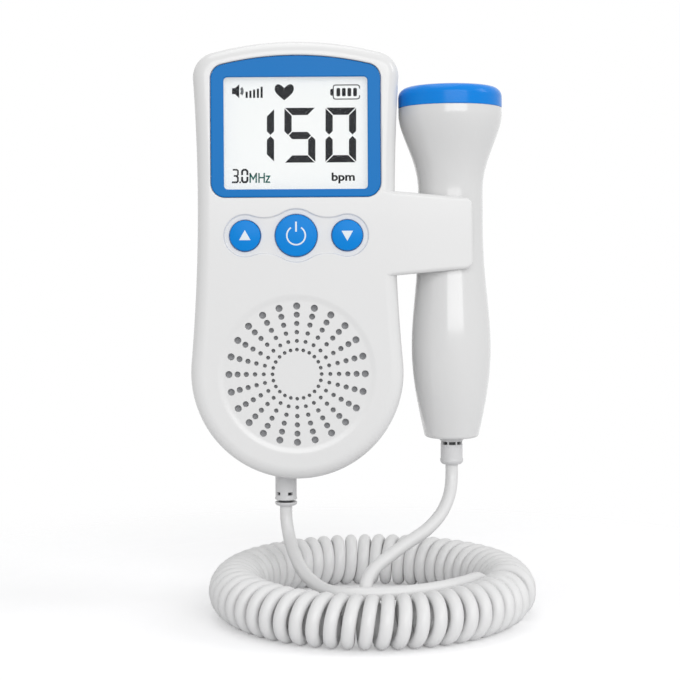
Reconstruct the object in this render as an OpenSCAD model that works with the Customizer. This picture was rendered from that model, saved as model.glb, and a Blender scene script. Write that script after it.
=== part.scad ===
// Hand-held fetal doppler monitor: a main unit with a round lower end, a probe that stands in a
// C-shaped clip on its right side, and the curly cord between them, coiled in a ring below.
// +X is to the right, +Z is up and the front faces -Y. The origin lies on the flat back face,
// half-way up the main unit. A depth is measured forwards from the back face, so y = -depth.

/* [Main unit] */
// Height of the main unit
body_h = 136; // [130:0.5:142]
// Depth of the main unit, back face to front face
body_d = 32; // [31:0.5:36]
// Radius of the round lower end
bottom_r = 33.1; // [32.4:0.1:35]
// Width at the waist
waist_w = 61.4; // [60:0.1:63]
// Height of the waist above the middle of the unit
waist_z = 18.7; // [12:0.1:22]
// Radius of the arched top
crown_r = 103; // [90:1:140]
// Radius of the two top corners, seen from the front
corner_r = 7.8; // [7:0.1:10]
// Rounding of the front edge
front_edge_r = 4; // [2.5:0.1:5]
// Rounding of the rear edge
rear_edge_r = 6; // [4:0.1:6.8]
// Wall thickness of both shells
wall = 2.2; // [1.8:0.1:2.6]
// How far the line where the shells meet, and the probe's axis, lie in front of half the depth
parting_shift = 0.6; // [0.5:0.1:1.4]

/* [Display] */
// Width of the blue bezel
bezel_w = 52.5; // [51:0.1:54]
// Height of the bezel's lower edge above the middle of the unit
bezel_z = 19.6; // [19:0.1:21]
// Distance between the bezel's arched top and the crown
bezel_crown_gap = 4.7; // [4:0.1:6]
// Corner radius of the bezel
bezel_r = 4.4; // [3:0.1:6]
// Thickness of the bezel
bezel_t = 1; // [0.8:0.1:1.2]
// How far the bezel lies below the front face
bezel_sink = 0.3; // [0:0.05:0.5]
// Width of the visible screen
screen_w = 44.5; // [40:0.1:46]
// Height of the visible screen
screen_h = 34.7; // [32:0.1:36]
// Height of the screen's centre above the middle of the unit
screen_z = 39.4; // [39:0.1:40.5]
// Thickness of the liquid crystal glass
lcd_t = 2.2; // [1.8:0.1:2.4]

/* [Buttons] */
// Radius of the power button
power_r = 6.45; // [5.5:0.05:7]
// Radius of the up and down buttons
side_button_r = 4.75; // [4:0.05:5]
// Distance from the power button to the up and down buttons
button_pitch = 15.8; // [15.2:0.1:16.5]
// Height of the button row above the middle of the unit
button_z = 7.7; // [7:0.1:8.5]
// Travel of a button
button_travel = 0.5; // [0.3:0.05:0.6]
// How far the buttons stand out of the front face
button_proud = 0.6; // [0.3:0.1:1]
// Radius of the recess round the power button
power_recess_r = 8.3; // [7.9:0.1:8.8]
// Radius of the recess round the up and down buttons
side_recess_r = 6.6; // [6.2:0.1:6.9]
// Radius of the hollow fillets between the recess lobes
recess_waist_r = 11; // [8:0.5:14]
// Depth of the recess
recess_depth = 0.6; // [0.3:0.05:0.8]

/* [Speaker grille] */
// Height of the grille's centre above the middle of the unit
grille_z = -35.2; // [-36:0.1:-34.5]
// Number of spokes of holes
spokes = 24; // [18:1:26]
// Number of rings of holes
rings = 6; // [4:1:6]
// Radius of the innermost ring of holes
ring_first_r = 7.6; // [7:0.1:9]
// Distance between one ring of holes and the next
ring_step = 2.7; // [2.5:0.05:2.75]
// Diameter of the smallest holes
hole_small_d = 1.12; // [0.9:0.01:1.3]
// Diameter of the largest holes
hole_large_d = 2.15; // [1.8:0.01:2.4]
// Depth of the shallow dish that the grille lies in
dish_depth = 0.3; // [0.2:0.05:0.5]
// Radius of the dish
dish_r = 24; // [23.5:0.1:25]
// Radius of the loudspeaker
speaker_r = 22.5; // [20:0.1:22.6]

/* [Clip] */
// Distance from the middle of the unit to the probe's axis
probe_x = 48.8; // [48.6:0.1:50]
// Distance that the jaws reach beyond the probe's axis
clip_reach = 6; // [4:0.1:7]
// Height of the clip at its root
clip_root_h = 26.9; // [24:0.1:28]
// Height of the clip at its tip
clip_tip_h = 21.8; // [18:0.1:24]
// Height of the clip's middle above the middle of the unit
clip_z = 8.2; // [7:0.1:9]
// Corner radius of the jaws, seen from the front
clip_corner_r = 2.6; // [1.5:0.1:4]
// Thickness of a jaw at its tip
clip_tip_t = 1.8; // [1.4:0.1:2]

/* [Probe] */
// Radius of the probe's head
head_r = 16.45; // [15:0.05:16.5]
// Radius of the probe's neck
neck_r = 10.3; // [9.5:0.05:10.6]
// Radius of the probe's grip at its fullest
grip_r = 12.6; // [11.5:0.05:13.5]
// Radius of the probe's lower end
tail_r = 8.5; // [8:0.05:9.5]
// Height of the top of the cap
cap_z = 56.1; // [54:0.1:58]
// Depth of the cap
cap_h = 7.4; // [6:0.1:8]
// Height of the lower end of the probe, below the middle of the unit
tail_z = -56.6; // [-60:0.1:-54]
// Wall thickness of the probe
probe_wall = 1.8; // [1.5:0.1:2.2]
// Thickness of the piezo disc pair
piezo_t = 1; // [0.6:0.1:1.5]

/* [Batteries] */
// Radius of a cell
cell_r = 7.25; // [5.25:0.05:7.25]
// Length of a cell with its nub
cell_l = 50.5; // [44.5:0.5:50.5]
// Width of the battery door
door_w = 34; // [33.5:0.1:34.4]
// Height of the door's upper edge above the middle of the unit
door_top_z = 8; // [7.5:0.1:10]
// Thickness of the battery door
door_t = 1.8; // [1.4:0.1:1.9]
// Distance that the door slides before it lifts off
door_slide = 8; // [5:0.5:8]

/* [Cord] */
// Diameter of the cable
cable_d = 4; // [3.5:0.1:4]
// Radius of the ring that the curly cord is laid in
coil_ring_r = 42.4; // [40:0.1:46]
// Outer diameter of the curly cord
coil_d = 16.8; // [15:0.1:18]
// Distance from the middle of the unit to the middle of the ring
coil_x = 22.9; // [18:0.1:26]
// Depth of the middle of the ring, forwards from the back face
coil_depth = 28; // [24:0.5:32]
// Height of the surface that the ring lies on, below the middle of the unit
coil_floor_z = -110.4; // [-114:0.1:-106]
// Radius of the strain relief on the main unit
gland_r = 3.4; // [3:0.1:3.6]
// Place of that strain relief across the unit
gland_x = -4.2; // [-6:0.1:0]

/* [Hidden] */

slip = 0.15;            // clearance round a piece that sits in an opening
rest_gap = 0.1;         // gap behind a piece that stands on another
run_gap = 0.3;          // clearance between the probe and its clip
cut = 1;                // how far a cut runs past the face it opens
weld = 0.5;             // how far a rib or boss runs into the wall it stands on
skin = 0.1;             // how far the clip's root stays short of the shell's inner face

// Outline of the main unit: arcs that meet in line, each with its centre and radius.
parting_d = body_d / 2 + parting_shift;
body_top = body_h / 2;
bottom_z = -body_h / 2 + bottom_r;
half_waist = waist_w / 2;
waist_rise = waist_z - bottom_z;
waist_r = (half_waist * half_waist + waist_rise * waist_rise - bottom_r * bottom_r)
  / (2 * (bottom_r - half_waist));
waist_x = half_waist + waist_r;
crown_z = body_top - crown_r;
corner_c = meet([0, crown_z], crown_r - corner_r, [waist_x, waist_z], waist_r + corner_r);
waist_low_a = 180 + atan2(waist_rise, waist_x);
waist_high_a = 180 - atan2(corner_c[1] - waist_z, waist_x - corner_c[0]);
crown_a = atan2(corner_c[0], corner_c[1] - crown_z);
waist_steps = 8;
corner_steps = 6;
crown_steps = 10;
bottom_steps = 32;
across_steps = 2 * (waist_steps + corner_steps) + crown_steps;

front_inner_d = body_d - wall;
recess_floor_d = body_d - recess_depth;
bezel_floor_d = body_d - bezel_sink - bezel_t;
glass_margin = 1.2;
lcd_size = [screen_w, screen_h] + 2 * [glass_margin, glass_margin];
window_corner_r = 1.2;
window_t = 1.8;
window_back_d = bezel_floor_d - window_t;
lcd_front_d = window_back_d - rest_gap;
backlight_margin = 0.5;
holder_wall = 1.2;

// The battery bay, from the size of the cells outwards: springs, plates and room round them.
cell_gap = 0.35;
cell_x = cell_r + cell_gap;
cell_door_gap = 0.75;
cell_side_gap = 0.6;
cell_roof_gap = 0.55;
cell_d = door_t + cell_door_gap + cell_r;
bay_w = 4 * cell_x + 2 * cell_side_gap;
bay_wall = 1.2;
bay_depth = cell_d + cell_r + cell_roof_gap;
bay_roof_d = bay_depth + bay_wall;
plate_t = 0.4;
bump_h = 1.2;
spring_l = 4;
contact_gap = 0.05;
bay_l = cell_l + spring_l + bump_h + 2 * plate_t + 2 * contact_gap;
door_lap = 3;
bay_z = [door_top_z - door_lap - bay_l, door_top_z - door_lap];

board_t = 1.6;
board_gap = 2.2;
board_d = bay_roof_d + board_gap;
board_front_d = board_d + board_t;
board_w = 50.6;
board_z = [-11, 58];
// What stands on the board's front, then on its back: [x, z, width, height, thickness].
front_chips = [[6, -3, 8, 8, 1.2], [-5, -4, 4, 5, 1]];
rear_chips = [[0, 30, 10, 10, 2], [14, 38, 6, 4, 1.5]];
capacitor = [-14, 28];
capacitor_r = 2.5;
capacitor_h = 5;

dish_slope_w = 1.5;
cloth_t = 0.4;
speaker_front_d = front_inner_d - cloth_t;
speaker_t = 4.8;
speaker_rim_w = 2;
speaker_rim_t = 1.2;
basket_t = 0.8;
basket_bore_r = 7;
magnet_r = 11;
magnet_gap = 0.5;
magnet_back_d = bay_roof_d + magnet_gap;
cone_rise = 0.8;
cone_back = 3.5;
cone_t = 0.3;
dust_cap_r = 6;

flange_t = 0.7;
flange_w = 1.2;
flange_front_d = front_inner_d - rest_gap;
flange_back_d = flange_front_d - flange_t;
switch_size = 6;
switch_share = 0.55;    // part of the room behind a button that its switch takes
switch_h = switch_share * (flange_back_d - board_front_d);
plunger_r = 1.7;
plunger_gap = 0.1;
plunger_foot_gap = 0.3;
plunger_top_d = board_front_d + switch_h + 1;
stem_r = 2;
button_edge_r = 0.5;
button_dome = 0.35;

probe_lip = 1.2;
shell_top_z = cap_z - cap_h;
floor_z = tail_z + 2 * probe_wall;
cap_over = 0.05;
cap_dome = 0.9;
cap_shoulder_r = 3.2;
cap_face_t = 2.4;
cap_ring_w = 2;
cap_ring_l = 2.5;
cap_ring_r = head_r - probe_wall - slip;
piezo_top_z = cap_z - cap_dome - cap_face_t;
piezo_pad_r = cap_ring_r - cap_ring_w - slip;
piezo_pad_t = 4;
probe_board_l = 34;
grip_z = -28;
neck_top_z = 22;
neck_low_z = 12;
flare_z = 46;
clip_seat_r = grip_neck_r() + run_gap;
clip_root_x = half_waist - wall / 2;
clip_face_x = half_waist - front_edge_r;
clip_tip_x = probe_x + clip_reach;
clip_run = clip_tip_x - clip_root_x;
clip_rear_d = 1;

nub_l = 1;
nub_r = 2.7;
plate_size = 10;
bump_r = 2.2;
spring_r = 3.2;
spring_top_r = 2.2;
spring_bore_r = 1.6;
// Height of each cell's lower end. The left cell's nub is up, the right cell's is down.
cell_low_z = [bay_z[1] - plate_t - bump_h - contact_gap - cell_l, bay_z[0] + plate_t + bump_h + contact_gap];
ledge_d = 3.2;
ledge_w = 2;
door_gap = 0.05;
door_ledge_d = door_t + door_gap;
tab_low_gap = 13.6;
tab_high_gap = 9;
tab_z = [bay_z[0] + tab_low_gap, bay_z[1] - tab_high_gap];
tab_l = 4;
tab_out = 0.8;
tab_gap = 0.1;
tab_d = [ledge_d + tab_gap, ledge_d + tab_gap + 1];
rib_w = 1.2;
rib_x = bay_w / 2 - slip - rib_w / 2;
groove_gap = 11;
groove_z = bay_z[1] - groove_gap;
groove_w = 16;
groove_taper = 2;
groove_step = 2.2;
groove_h = 1;
groove_depth = 0.5;

boss_r = 2.8;
screw_r = 1;
screw_gap = 0.3;
screw_head_r = 2.1;
screw_head_t = 1.6;
screw_head_d = 8;
screw_l = 15;
pilot_spare = 1;
shell_bosses = [[-12, 62.2], [12, 62.2], [-21, -52.5], [21, -52.5]];
post_r = 1.6;
post_side_gap = 2.3;
post_end_gap = 1.6;
post_rise = 6.3;        // height of the upper posts above the button row
post_x = board_w / 2 - post_side_gap;
post_z = [board_z[0] + post_end_gap, button_z + post_rise];
board_posts = [[-post_x, post_z[0]], [post_x, post_z[0]], [-post_x, post_z[1]], [post_x, post_z[1]]];
board_screw_r = 0.8;
board_screw_l = 4;
board_screw_head_r = 1.5;
thread_gap = 0.02;

jack_z = -4.5;
jack_d = board_d - 0.8;
jack_bore_r = 1.8;
jack_nose_r = 2.5;
jack_bore_l = 12;
jack_nose_l = 2.2;
jack_sink = 0.2;
jack_fit = 0.1;
jack_size = [11, 5.4, 6];
jack_x = -body_side_x(jack_z) + jack_sink;
jack_end_x = jack_x + jack_nose_l + jack_size[0];

gland_fit = 0.05;
gland_seat_z = -body_h / 2 - rest_gap;
gland_l = 10;
gland_neck_r = 2.4;
gland_flange_w = 1;
gland_flange_t = 1.2;
// The flange clears the round bottom's inner face at its outer edge.
gland_flange_x = abs(gland_x) + gland_neck_r + gland_flange_w;
gland_flange_z = bottom_z - sqrt(pow(bottom_r - wall, 2) - pow(gland_flange_x, 2)) + rest_gap - gland_seat_z;
gland_edge_r = 0.4;
gland_groove_depth = 0.5;
gland_groove_z = -8.9;
gland_groove_h = 0.9;
slot_depth = 0.9;
slot_h = 1.1;
slot_a = 54;
main_slot_z = -6.6;
tail_gland_l = 8.6;
tail_gland_r = 3.5;
tail_gland_flare_r = 4.45;
tail_gland_lip_r = 3.9;
tail_flare_l = 1.1;
tail_flare_w = 0.2;
tail_lip_z = -6.9;
tail_lip_h = 1;
tail_lip_slope = 0.3;
tail_flange_t = 1.35;
tail_flange_z = 2 * probe_wall + gland_fit;
tail_slot_z = -3.2;

coil_c = [coil_x, -coil_depth, coil_floor_z + coil_d / 2];
coil_gap_a = 6;
coil_start_a = -17;
// The leads' routes, from the strain reliefs to the two ends of the coil.
lead_main_route = [
  [gland_x, -parting_d, gland_seat_z - gland_l], [gland_x, -parting_d, -82],
  [-3.4, -18.5, -87], [-1.2, -26, -92], [1.6, -35, -95], [5.4, -45, -96.3], [9, -53.5, -96.2],
  [13.5, -60, -95.6], [21, -61.8, -95.4], [29, -61.2, -95.4], [37, -58.6, -95.5], [44, -54, -95.8],
  [50.8, -46.4, -96.4], [55.4, -39.8, -97.2], [58.6, -36.6, -99.6]
];
lead_probe_route = [
  [probe_x, -parting_d, tail_z - tail_gland_l], [probe_x, -parting_d, -68.5],
  [48.2, -18.4, -73.5], [46, -22, -78.5], [40.8, -28.2, -83.5], [33.5, -34.6, -87.2], [27.2, -41, -90.4],
  [23, -46, -93], [20.8, -50.6, -96], [21, -54.8, -99.8], [25.5, -57.8, -103.8], [33.5, -56.6, -106.4],
  [41, -51.6, -107], [47.2, -45, -106.4], [52, -40.4, -104.8], [56, -40.6, -103.4]
];
cable_sides = 10;

// The upper point where two circles cross, on the side of larger x.
function meet(a, ra, b, rb) =
  let (d = norm(b - a), u = (b - a) / d, s = (d * d + ra * ra - rb * rb) / (2 * d))
  a + u * s + sqrt(ra * ra - s * s) * [-u[1], u[0]];

// Half the width of the main unit at a height within its waist.
function body_side_x(z) = waist_x - sqrt(waist_r * waist_r - pow(z - waist_z, 2));

// Radius of the probe at height z: an eased flare, a neck, a swelling grip and a rounding tail.
function ease(u) = (1 - cos(180 * u)) / 2;
function probe_radius(z) =
  z >= flare_z ? head_r
  : z >= neck_top_z ? head_r + (neck_r - head_r) * ease(pow((flare_z - z) / (flare_z - neck_top_z), 0.85))
  : z >= neck_low_z ? neck_r
  : z >= grip_z ? neck_r + (grip_r - neck_r) * ease(pow((neck_low_z - z) / (neck_low_z - grip_z), 1.2))
  : grip_r - (grip_r - tail_r) * (1 - cos(90 * (grip_z - z) / (grip_z - tail_z)));

// Largest radius of the probe within the height of the clip.
function grip_neck_r() = max(neck_r, probe_radius(clip_z - clip_root_h / 2));

// Heights at which the probe's outline has a point.
function probe_heights() = concat(
  [for (i = [0:8]) tail_z + (grip_z - tail_z) * i / 8],
  [for (i = [1:9]) grip_z + (neck_low_z - grip_z) * i / 9],
  [for (i = [0:12]) neck_top_z + (flare_z - neck_top_z) * i / 12]
);

// ---- helpers -------------------------------------------------------------------------------

// A face outline, drawn in x and z, made solid between two depths.
module slab(d0, d1) {
  translate([0, -d0, 0]) rotate([90, 0, 0]) linear_extrude(d1 - d0) children();
}

// A profile of radius and depth, turned about an axis that runs front to back through [x, z].
module turned(c, $fn = 96) {
  translate([c[0], 0, c[1]]) rotate([90, 0, 0]) rotate_extrude() children();
}

// A round post or hole between two depths.
module peg(c, r, d0, d1, $fn = 48) {
  translate([c[0], -d0, c[1]]) rotate([90, 0, 0]) cylinder(r = r, h = d1 - d0);
}

// A rectangle with round corners about a centre.
module round_rect(size, r, c = [0, 0], $fn = 48) {
  translate(c) {
    square([size[0] - 2 * r, size[1]], center = true);
    square([size[0], size[1] - 2 * r], center = true);
    for (sx = [-1, 1], sz = [-1, 1])
      translate([sx * (size[0] / 2 - r), sz * (size[1] / 2 - r)]) circle(r = r);
  }
}

// Points along an arc, for outlines drawn as one polygon. The open arc leaves out its last point.
function arc(c, r, a0, a1, n, last = 0) =
  [for (i = [0:n - last]) let (a = a0 + (a1 - a0) * i / n) c + r * [cos(a), sin(a)]];
function open_arc(c, r, a0, a1, n) = arc(c, r, a0, a1, n, last = 1);

// The main unit's outline, inset all round by g: waist, corner, crown, corner, waist and round end.
function outline(g) = concat(
  open_arc([waist_x, waist_z], waist_r + g, waist_low_a, waist_high_a, waist_steps),
  open_arc(corner_c, corner_r - g, waist_high_a - 180, 90 - crown_a, corner_steps),
  open_arc([0, crown_z], crown_r - g, 90 - crown_a, 90 + crown_a, crown_steps),
  open_arc([-corner_c[0], corner_c[1]], corner_r - g, 90 + crown_a, 360 - waist_high_a, corner_steps),
  open_arc([-waist_x, waist_z], waist_r + g, 180 - waist_high_a, 180 - waist_low_a, waist_steps),
  open_arc([0, bottom_z], bottom_r - g, 360 - waist_low_a, 180 + waist_low_a, bottom_steps)
);

// The face that closes the outline, as strips between its mirrored points: over the waist and
// crown, then over the round end.
function strips() =
  let (top = across_steps / 2, low = bottom_steps / 2, n = across_steps + bottom_steps) concat(
  [for (k = [0:top - 2]) [k, k + 1, across_steps - k - 1, across_steps - k]],
  [[top - 1, top, top + 1]],
  [for (k = [0:low - 2]) [across_steps + k, across_steps + k + 1, n - k - 1, (n - k) % n]],
  [[across_steps + low - 1, across_steps + low, across_steps + low + 1]]
);

// The main unit's form, inset by g, between depths d0 and d1 with its edges rounded by r0 and r1:
// the outline is carried from back to front and drawn in along a quarter circle at each rounded edge.
module body_form(g, d0, d1, r0, r1, steps = 6) {
  turns = [for (i = [0:steps]) 90 * i / steps];
  stations = concat(
    r0 > 0 ? [for (a = turns) [g + r0 * (1 - sin(a)), d0 + r0 * (1 - cos(a))]] : [[g, d0]],
    r1 > 0 ? [for (a = turns) [g + r1 * (1 - cos(a)), d1 - r1 * (1 - sin(a))]] : [[g, d1]]
  );
  n = len(outline(0));
  m = len(stations);
  polyhedron(
    points = [for (s = stations, p = outline(s[0])) [p[0], -s[1], p[1]]],
    faces = concat(
      strips(),
      [for (i = [0:m - 2], k = [0:n - 1]) let (a = i * n, b = a + n, j = (k + 1) % n)
        [a + k, b + k, b + j, a + j]],
      [for (f = strips()) [for (k = [len(f) - 1:-1:0]) (m - 1) * n + f[k]]]
    )
  );
}

// Outline of the display bezel: an arched top that follows the crown, grown all round by g.
module bezel_outline(g = 0) {
  r = bezel_r + g;
  top_r = crown_r - bezel_crown_gap + g;
  x = bezel_w / 2 + g - r;
  low = bezel_z - g + r;
  high = crown_z + sqrt(pow(top_r - r, 2) - x * x);
  a = atan2(x, high - crown_z);
  polygon(concat(
    arc([x, high], r, 0, 90 - a, 8), arc([0, crown_z], top_r, 90 - a, 90 + a, 24),
    arc([-x, high], r, 90 + a, 180, 8), arc([-x, low], r, 180, 270, 8), arc([x, low], r, 270, 360, 8)
  ));
}

// Three round lobes, joined by hollow fillets that touch the lobes in line.
module recess_outline($fn = 96) {
  near = power_recess_r + recess_waist_r;
  far = side_recess_r + recess_waist_r;
  x = (near * near - far * far + button_pitch * button_pitch) / (2 * button_pitch);
  z = sqrt(near * near - x * x);
  translate([0, button_z]) difference() {
    union() {
      circle(r = power_recess_r);
      for (sx = [-1, 1]) {
        translate([sx * button_pitch, 0]) circle(r = side_recess_r);
        polygon([[0, 0], [sx * x, z], [sx * button_pitch, 0], [sx * x, -z]]);
      }
    }
    for (sx = [-1, 1], sz = [-1, 1]) translate([sx * x, sz * z]) circle(r = recess_waist_r);
  }
}

// Outline of the clip from the front: it tapers from root to tip and has round tip corners.
module clip_outline($fn = 48) {
  r = clip_corner_r;
  slope = atan2((clip_root_h - clip_tip_h) / 2, clip_tip_x - clip_face_x);
  x = clip_tip_x - r;
  z = clip_tip_h / 2 + r * tan(slope) - r / cos(slope);
  edge = [x + r * sin(slope), z + r * cos(slope)];
  root = [clip_face_x, clip_root_h / 2];
  translate([0, clip_z]) {
    polygon([root, edge, [clip_tip_x, z], [clip_tip_x, -z], [edge[0], -edge[1]], [root[0], -root[1]]]);
    for (sz = [-1, 1]) translate([x, sz * z]) circle(r = r);
  }
}

// Plan of one jaw, with v measured from the parting: a block at the root, hollowed to the neck's
// radius, and a jaw whose outside sweeps in towards the tip.
module jaw_plan(v_out, v_wall, $fn = 180) {
  draw = v_out - clip_seat_r - clip_tip_t;
  sweep_r = (clip_run * clip_run + draw * draw) / (2 * draw);
  difference() {
    intersection() {
      union() {
        translate([clip_face_x, v_wall]) square([clip_tip_x - clip_face_x, v_out - v_wall]);
        translate([clip_root_x, 0]) square([clip_run, v_out]);
      }
      union() {
        translate([clip_root_x, v_out - sweep_r]) circle(r = sweep_r);
        translate([clip_face_x, 0]) square([clip_root_x - clip_face_x, v_out]);
      }
    }
    translate([probe_x, 0]) circle(r = clip_seat_r, $fn = 96);
    translate([probe_x, 0]) square([clip_reach + cut, clip_seat_r]);
  }
}

// One half of the clip, on the front shell (side -1) or the rear shell (side 1).
module clip_half(side, v_out, v_wall) {
  intersection() {
    translate([0, -parting_d, clip_z - clip_root_h / 2 - cut]) linear_extrude(clip_root_h + 2 * cut)
      mirror([0, side < 0 ? 1 : 0]) jaw_plan(v_out, v_wall);
    slab(-cut, body_d + cut) clip_outline();
  }
}

// ---- main unit -----------------------------------------------------------------------------

function ring_r(i) = ring_first_r + ring_step * i;
function hole_r(i) = (hole_small_d + (hole_large_d - hole_small_d) * pow(i / (rings - 1), 1.6)) / 2;

// The grille: spokes of holes that grow outwards, one ring after another.
module grille_holes() {
  for (i = [0:rings - 1], k = [0:spokes - 1])
    peg([ring_r(i) * cos(360 * k / spokes), grille_z + ring_r(i) * sin(360 * k / spokes)],
      hole_r(i), front_inner_d - cut, body_d + cut, $fn = 16);
}

module front_shell() color("white") difference() {
  union() {
    difference() {
      body_form(0, parting_d, body_d, 0, front_edge_r);
      body_form(wall, parting_d - cut, front_inner_d, 0, front_edge_r - wall, steps = 2);
    }
    clip_half(-1, body_d - parting_d, front_inner_d - parting_d + skin);
    for (c = shell_bosses) peg(c, boss_r, parting_d, front_inner_d + weld);
    for (c = board_posts) peg(c, post_r, board_front_d, front_inner_d + weld);
    // The ring that the loudspeaker is pushed into.
    turned([0, grille_z]) translate([speaker_r + slip, speaker_front_d - speaker_t])
      square([wall / 2, speaker_t + cloth_t + weld]);
  }
  slab(bezel_floor_d, body_d + cut) bezel_outline(slip);
  slab(front_inner_d - cut, body_d) translate([0, screen_z])
    round_rect(lcd_size + 2 * [slip, slip], window_corner_r);
  slab(recess_floor_d, body_d + cut) recess_outline();
  peg([0, button_z], power_r + slip, front_inner_d - cut, body_d);
  for (sx = [-1, 1]) peg([sx * button_pitch, button_z], side_button_r + slip, front_inner_d - cut, body_d);
  translate([0, dish_depth - body_d, grille_z]) rotate([90, 0, 0])
    cylinder(r1 = dish_r - dish_slope_w, r2 = dish_r + dish_slope_w, h = 2 * dish_depth, $fn = 180);
  grille_holes();
  for (c = shell_bosses) peg(c, screw_r, parting_d - cut, screw_head_d + screw_l + pilot_spare);
  for (c = board_posts)
    peg(c, board_screw_r, board_front_d - cut, board_front_d + board_screw_l + pilot_spare);
  jack_hole();
  gland_bore();
}

// Where the jack's nose passes through the side.
module jack_hole() {
  translate([jack_x - 2 * cut, -jack_d, jack_z]) rotate([0, 90, 0])
    cylinder(r = jack_nose_r + jack_fit, h = 2 * wall + 2 * cut, $fn = 48);
}

// The round hole that the strain relief's neck is held in, half of it in each shell.
module gland_bore() {
  translate([gland_x, -parting_d, gland_seat_z - cut])
    cylinder(r = gland_neck_r + gland_fit, h = 2 * wall + 2 * cut, $fn = 48);
}

module rear_shell() color("white") difference() {
  union() {
    difference() {
      body_form(0, 0, parting_d, rear_edge_r, 0);
      body_form(wall, wall, parting_d + cut, rear_edge_r - wall, 0, steps = 3);
    }
    clip_half(1, parting_d - clip_rear_d, parting_d - wall + skin);
    for (c = shell_bosses) peg(c, boss_r, wall - weld, parting_d);
    // Walls and roof of the battery bay.
    slab(wall - weld, bay_roof_d) translate([0, (bay_z[0] + bay_z[1]) / 2])
      square([bay_w + 2 * bay_wall, bay_z[1] - bay_z[0] + 2 * bay_wall], center = true);
    door_ledge();
  }
  slab(-cut, bay_depth) translate([-bay_w / 2, bay_z[0]]) square([bay_w, bay_z[1] - bay_z[0]]);
  slab(-cut, door_ledge_d) translate([-door_w / 2 - slip, -body_h])
    square([door_w + 2 * slip, body_h + door_top_z + slip]);
  door_tab_ways();
  for (c = shell_bosses) {
    peg(c, screw_r + screw_gap, -cut, parting_d + cut);
    peg(c, screw_head_r + screw_gap, -cut, screw_head_d);
  }
  jack_hole();
  gland_bore();
}

// The thickened wall that the door slides on, down to the round end.
module door_ledge() {
  w = door_w + 2 * ledge_w;
  slab(wall - weld, ledge_d) {
    translate([-w / 2, bottom_z]) square([w, door_top_z + ledge_w - bottom_z]);
    intersection() {
      translate([0, bottom_z]) circle(r = bottom_r - wall - skin, $fn = 180);
      translate([-w / 2, -body_h]) square([w, body_h]);
    }
  }
}

// Ways in the bay's sides for the door's tabs: along the slide, and out at its open end.
module door_tab_ways() {
  w = 2 * (tab_out + tab_gap);
  for (sx = [-1, 1], z = tab_z) {
    slab(ledge_d - tab_gap, tab_d[1] + tab_gap) translate([sx * bay_w / 2, z + (tab_l - door_slide) / 2])
      square([w, tab_l + door_slide + 2 * slip], center = true);
    slab(0, ledge_d) translate([sx * bay_w / 2, z - door_slide + tab_l / 2])
      square([w, tab_l + 2 * slip], center = true);
  }
}

// The door follows the unit's back and round end. Two ribs inside it carry the tabs that hold it.
module battery_door() color("white") {
  difference() {
    intersection() {
      body_form(0, 0, parting_d, rear_edge_r, 0);
      slab(-cut, door_t) translate([-door_w / 2, -body_h]) square([door_w, body_h + door_top_z]);
    }
    // Shallow finger grooves, each shorter than the one above.
    for (i = [0:4]) slab(-cut, groove_depth) translate([0, groove_z - groove_step * i])
      square([groove_w - groove_taper * i, groove_h], center = true);
  }
  for (sx = [-1, 1]) {
    slab(door_t - weld, tab_d[1]) translate([sx * rib_x, (tab_z[0] + tab_z[1] + tab_l) / 2])
      square([rib_w, tab_z[1] - tab_z[0] + tab_l], center = true);
    for (z = tab_z) slab(tab_d[0], tab_d[1]) translate([sx * (rib_x + tab_out / 2), z + tab_l / 2])
      square([rib_w + tab_out, tab_l], center = true);
  }
}

module display_bezel() color("dodgerblue") slab(bezel_floor_d, bezel_floor_d + bezel_t) difference() {
  bezel_outline();
  translate([0, screen_z]) round_rect([screen_w, screen_h], window_corner_r);
}

module display_window() color("whitesmoke", 0.4) {
  slab(window_back_d, bezel_floor_d) translate([0, screen_z]) round_rect(lcd_size, window_corner_r);
  slab(bezel_floor_d - weld, bezel_floor_d + bezel_t / 2) translate([0, screen_z])
    round_rect([screen_w, screen_h] - 2 * [rest_gap, rest_gap], window_corner_r);
}

module lcd_panel() color("gainsboro") slab(lcd_front_d - lcd_t, lcd_front_d)
  translate([0, screen_z]) square(lcd_size, center = true);

module lcd_backlight() color("white") slab(board_front_d + rest_gap, lcd_front_d - lcd_t - rest_gap)
  translate([0, screen_z]) square(lcd_size - 2 * [backlight_margin, backlight_margin], center = true);

// An open frame round the glass and its backlight, standing on the board.
module lcd_holder() color("ivory") slab(board_front_d, front_inner_d - rest_gap)
  translate([0, screen_z]) difference() {
    square(lcd_size + 2 * [holder_wall + rest_gap, holder_wall + rest_gap], center = true);
    square(lcd_size + 2 * [rest_gap, rest_gap], center = true);
  }

module main_board() color("darkgreen") slab(board_d, board_front_d) difference() {
  translate([-board_w / 2, board_z[0]]) square([board_w, board_z[1] - board_z[0]]);
  translate([-board_w / 2 - cut, jack_z - jack_size[2] / 2 - slip])
    square([board_w / 2 + cut + jack_end_x + slip, jack_size[2] + 2 * slip]);
  for (c = board_posts) translate(c) circle(r = board_screw_r + slip, $fn = 32);
}

module board_chips() color("dimgray") {
  for (c = front_chips) slab(board_front_d, board_front_d + c[4]) translate([c[0], c[1]])
    square([c[2], c[3]], center = true);
  for (c = rear_chips) slab(board_d - c[4], board_d) translate([c[0], c[1]])
    square([c[2], c[3]], center = true);
  peg(capacitor, capacitor_r, board_d - capacitor_h, board_d);
}

module board_screws() color("silver") for (c = board_posts) {
  peg(c, board_screw_r - thread_gap, board_d, board_front_d + board_screw_l, $fn = 24);
  peg(c, board_screw_head_r, board_d - 1, board_d, $fn = 24);
}

module button_switches() color("black") for (x = [-button_pitch, 0, button_pitch])
  slab(board_front_d, board_front_d + switch_h) translate([x, button_z]) difference() {
    square(switch_size, center = true);
    circle(r = plunger_r + plunger_gap, $fn = 32);
  }

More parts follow.
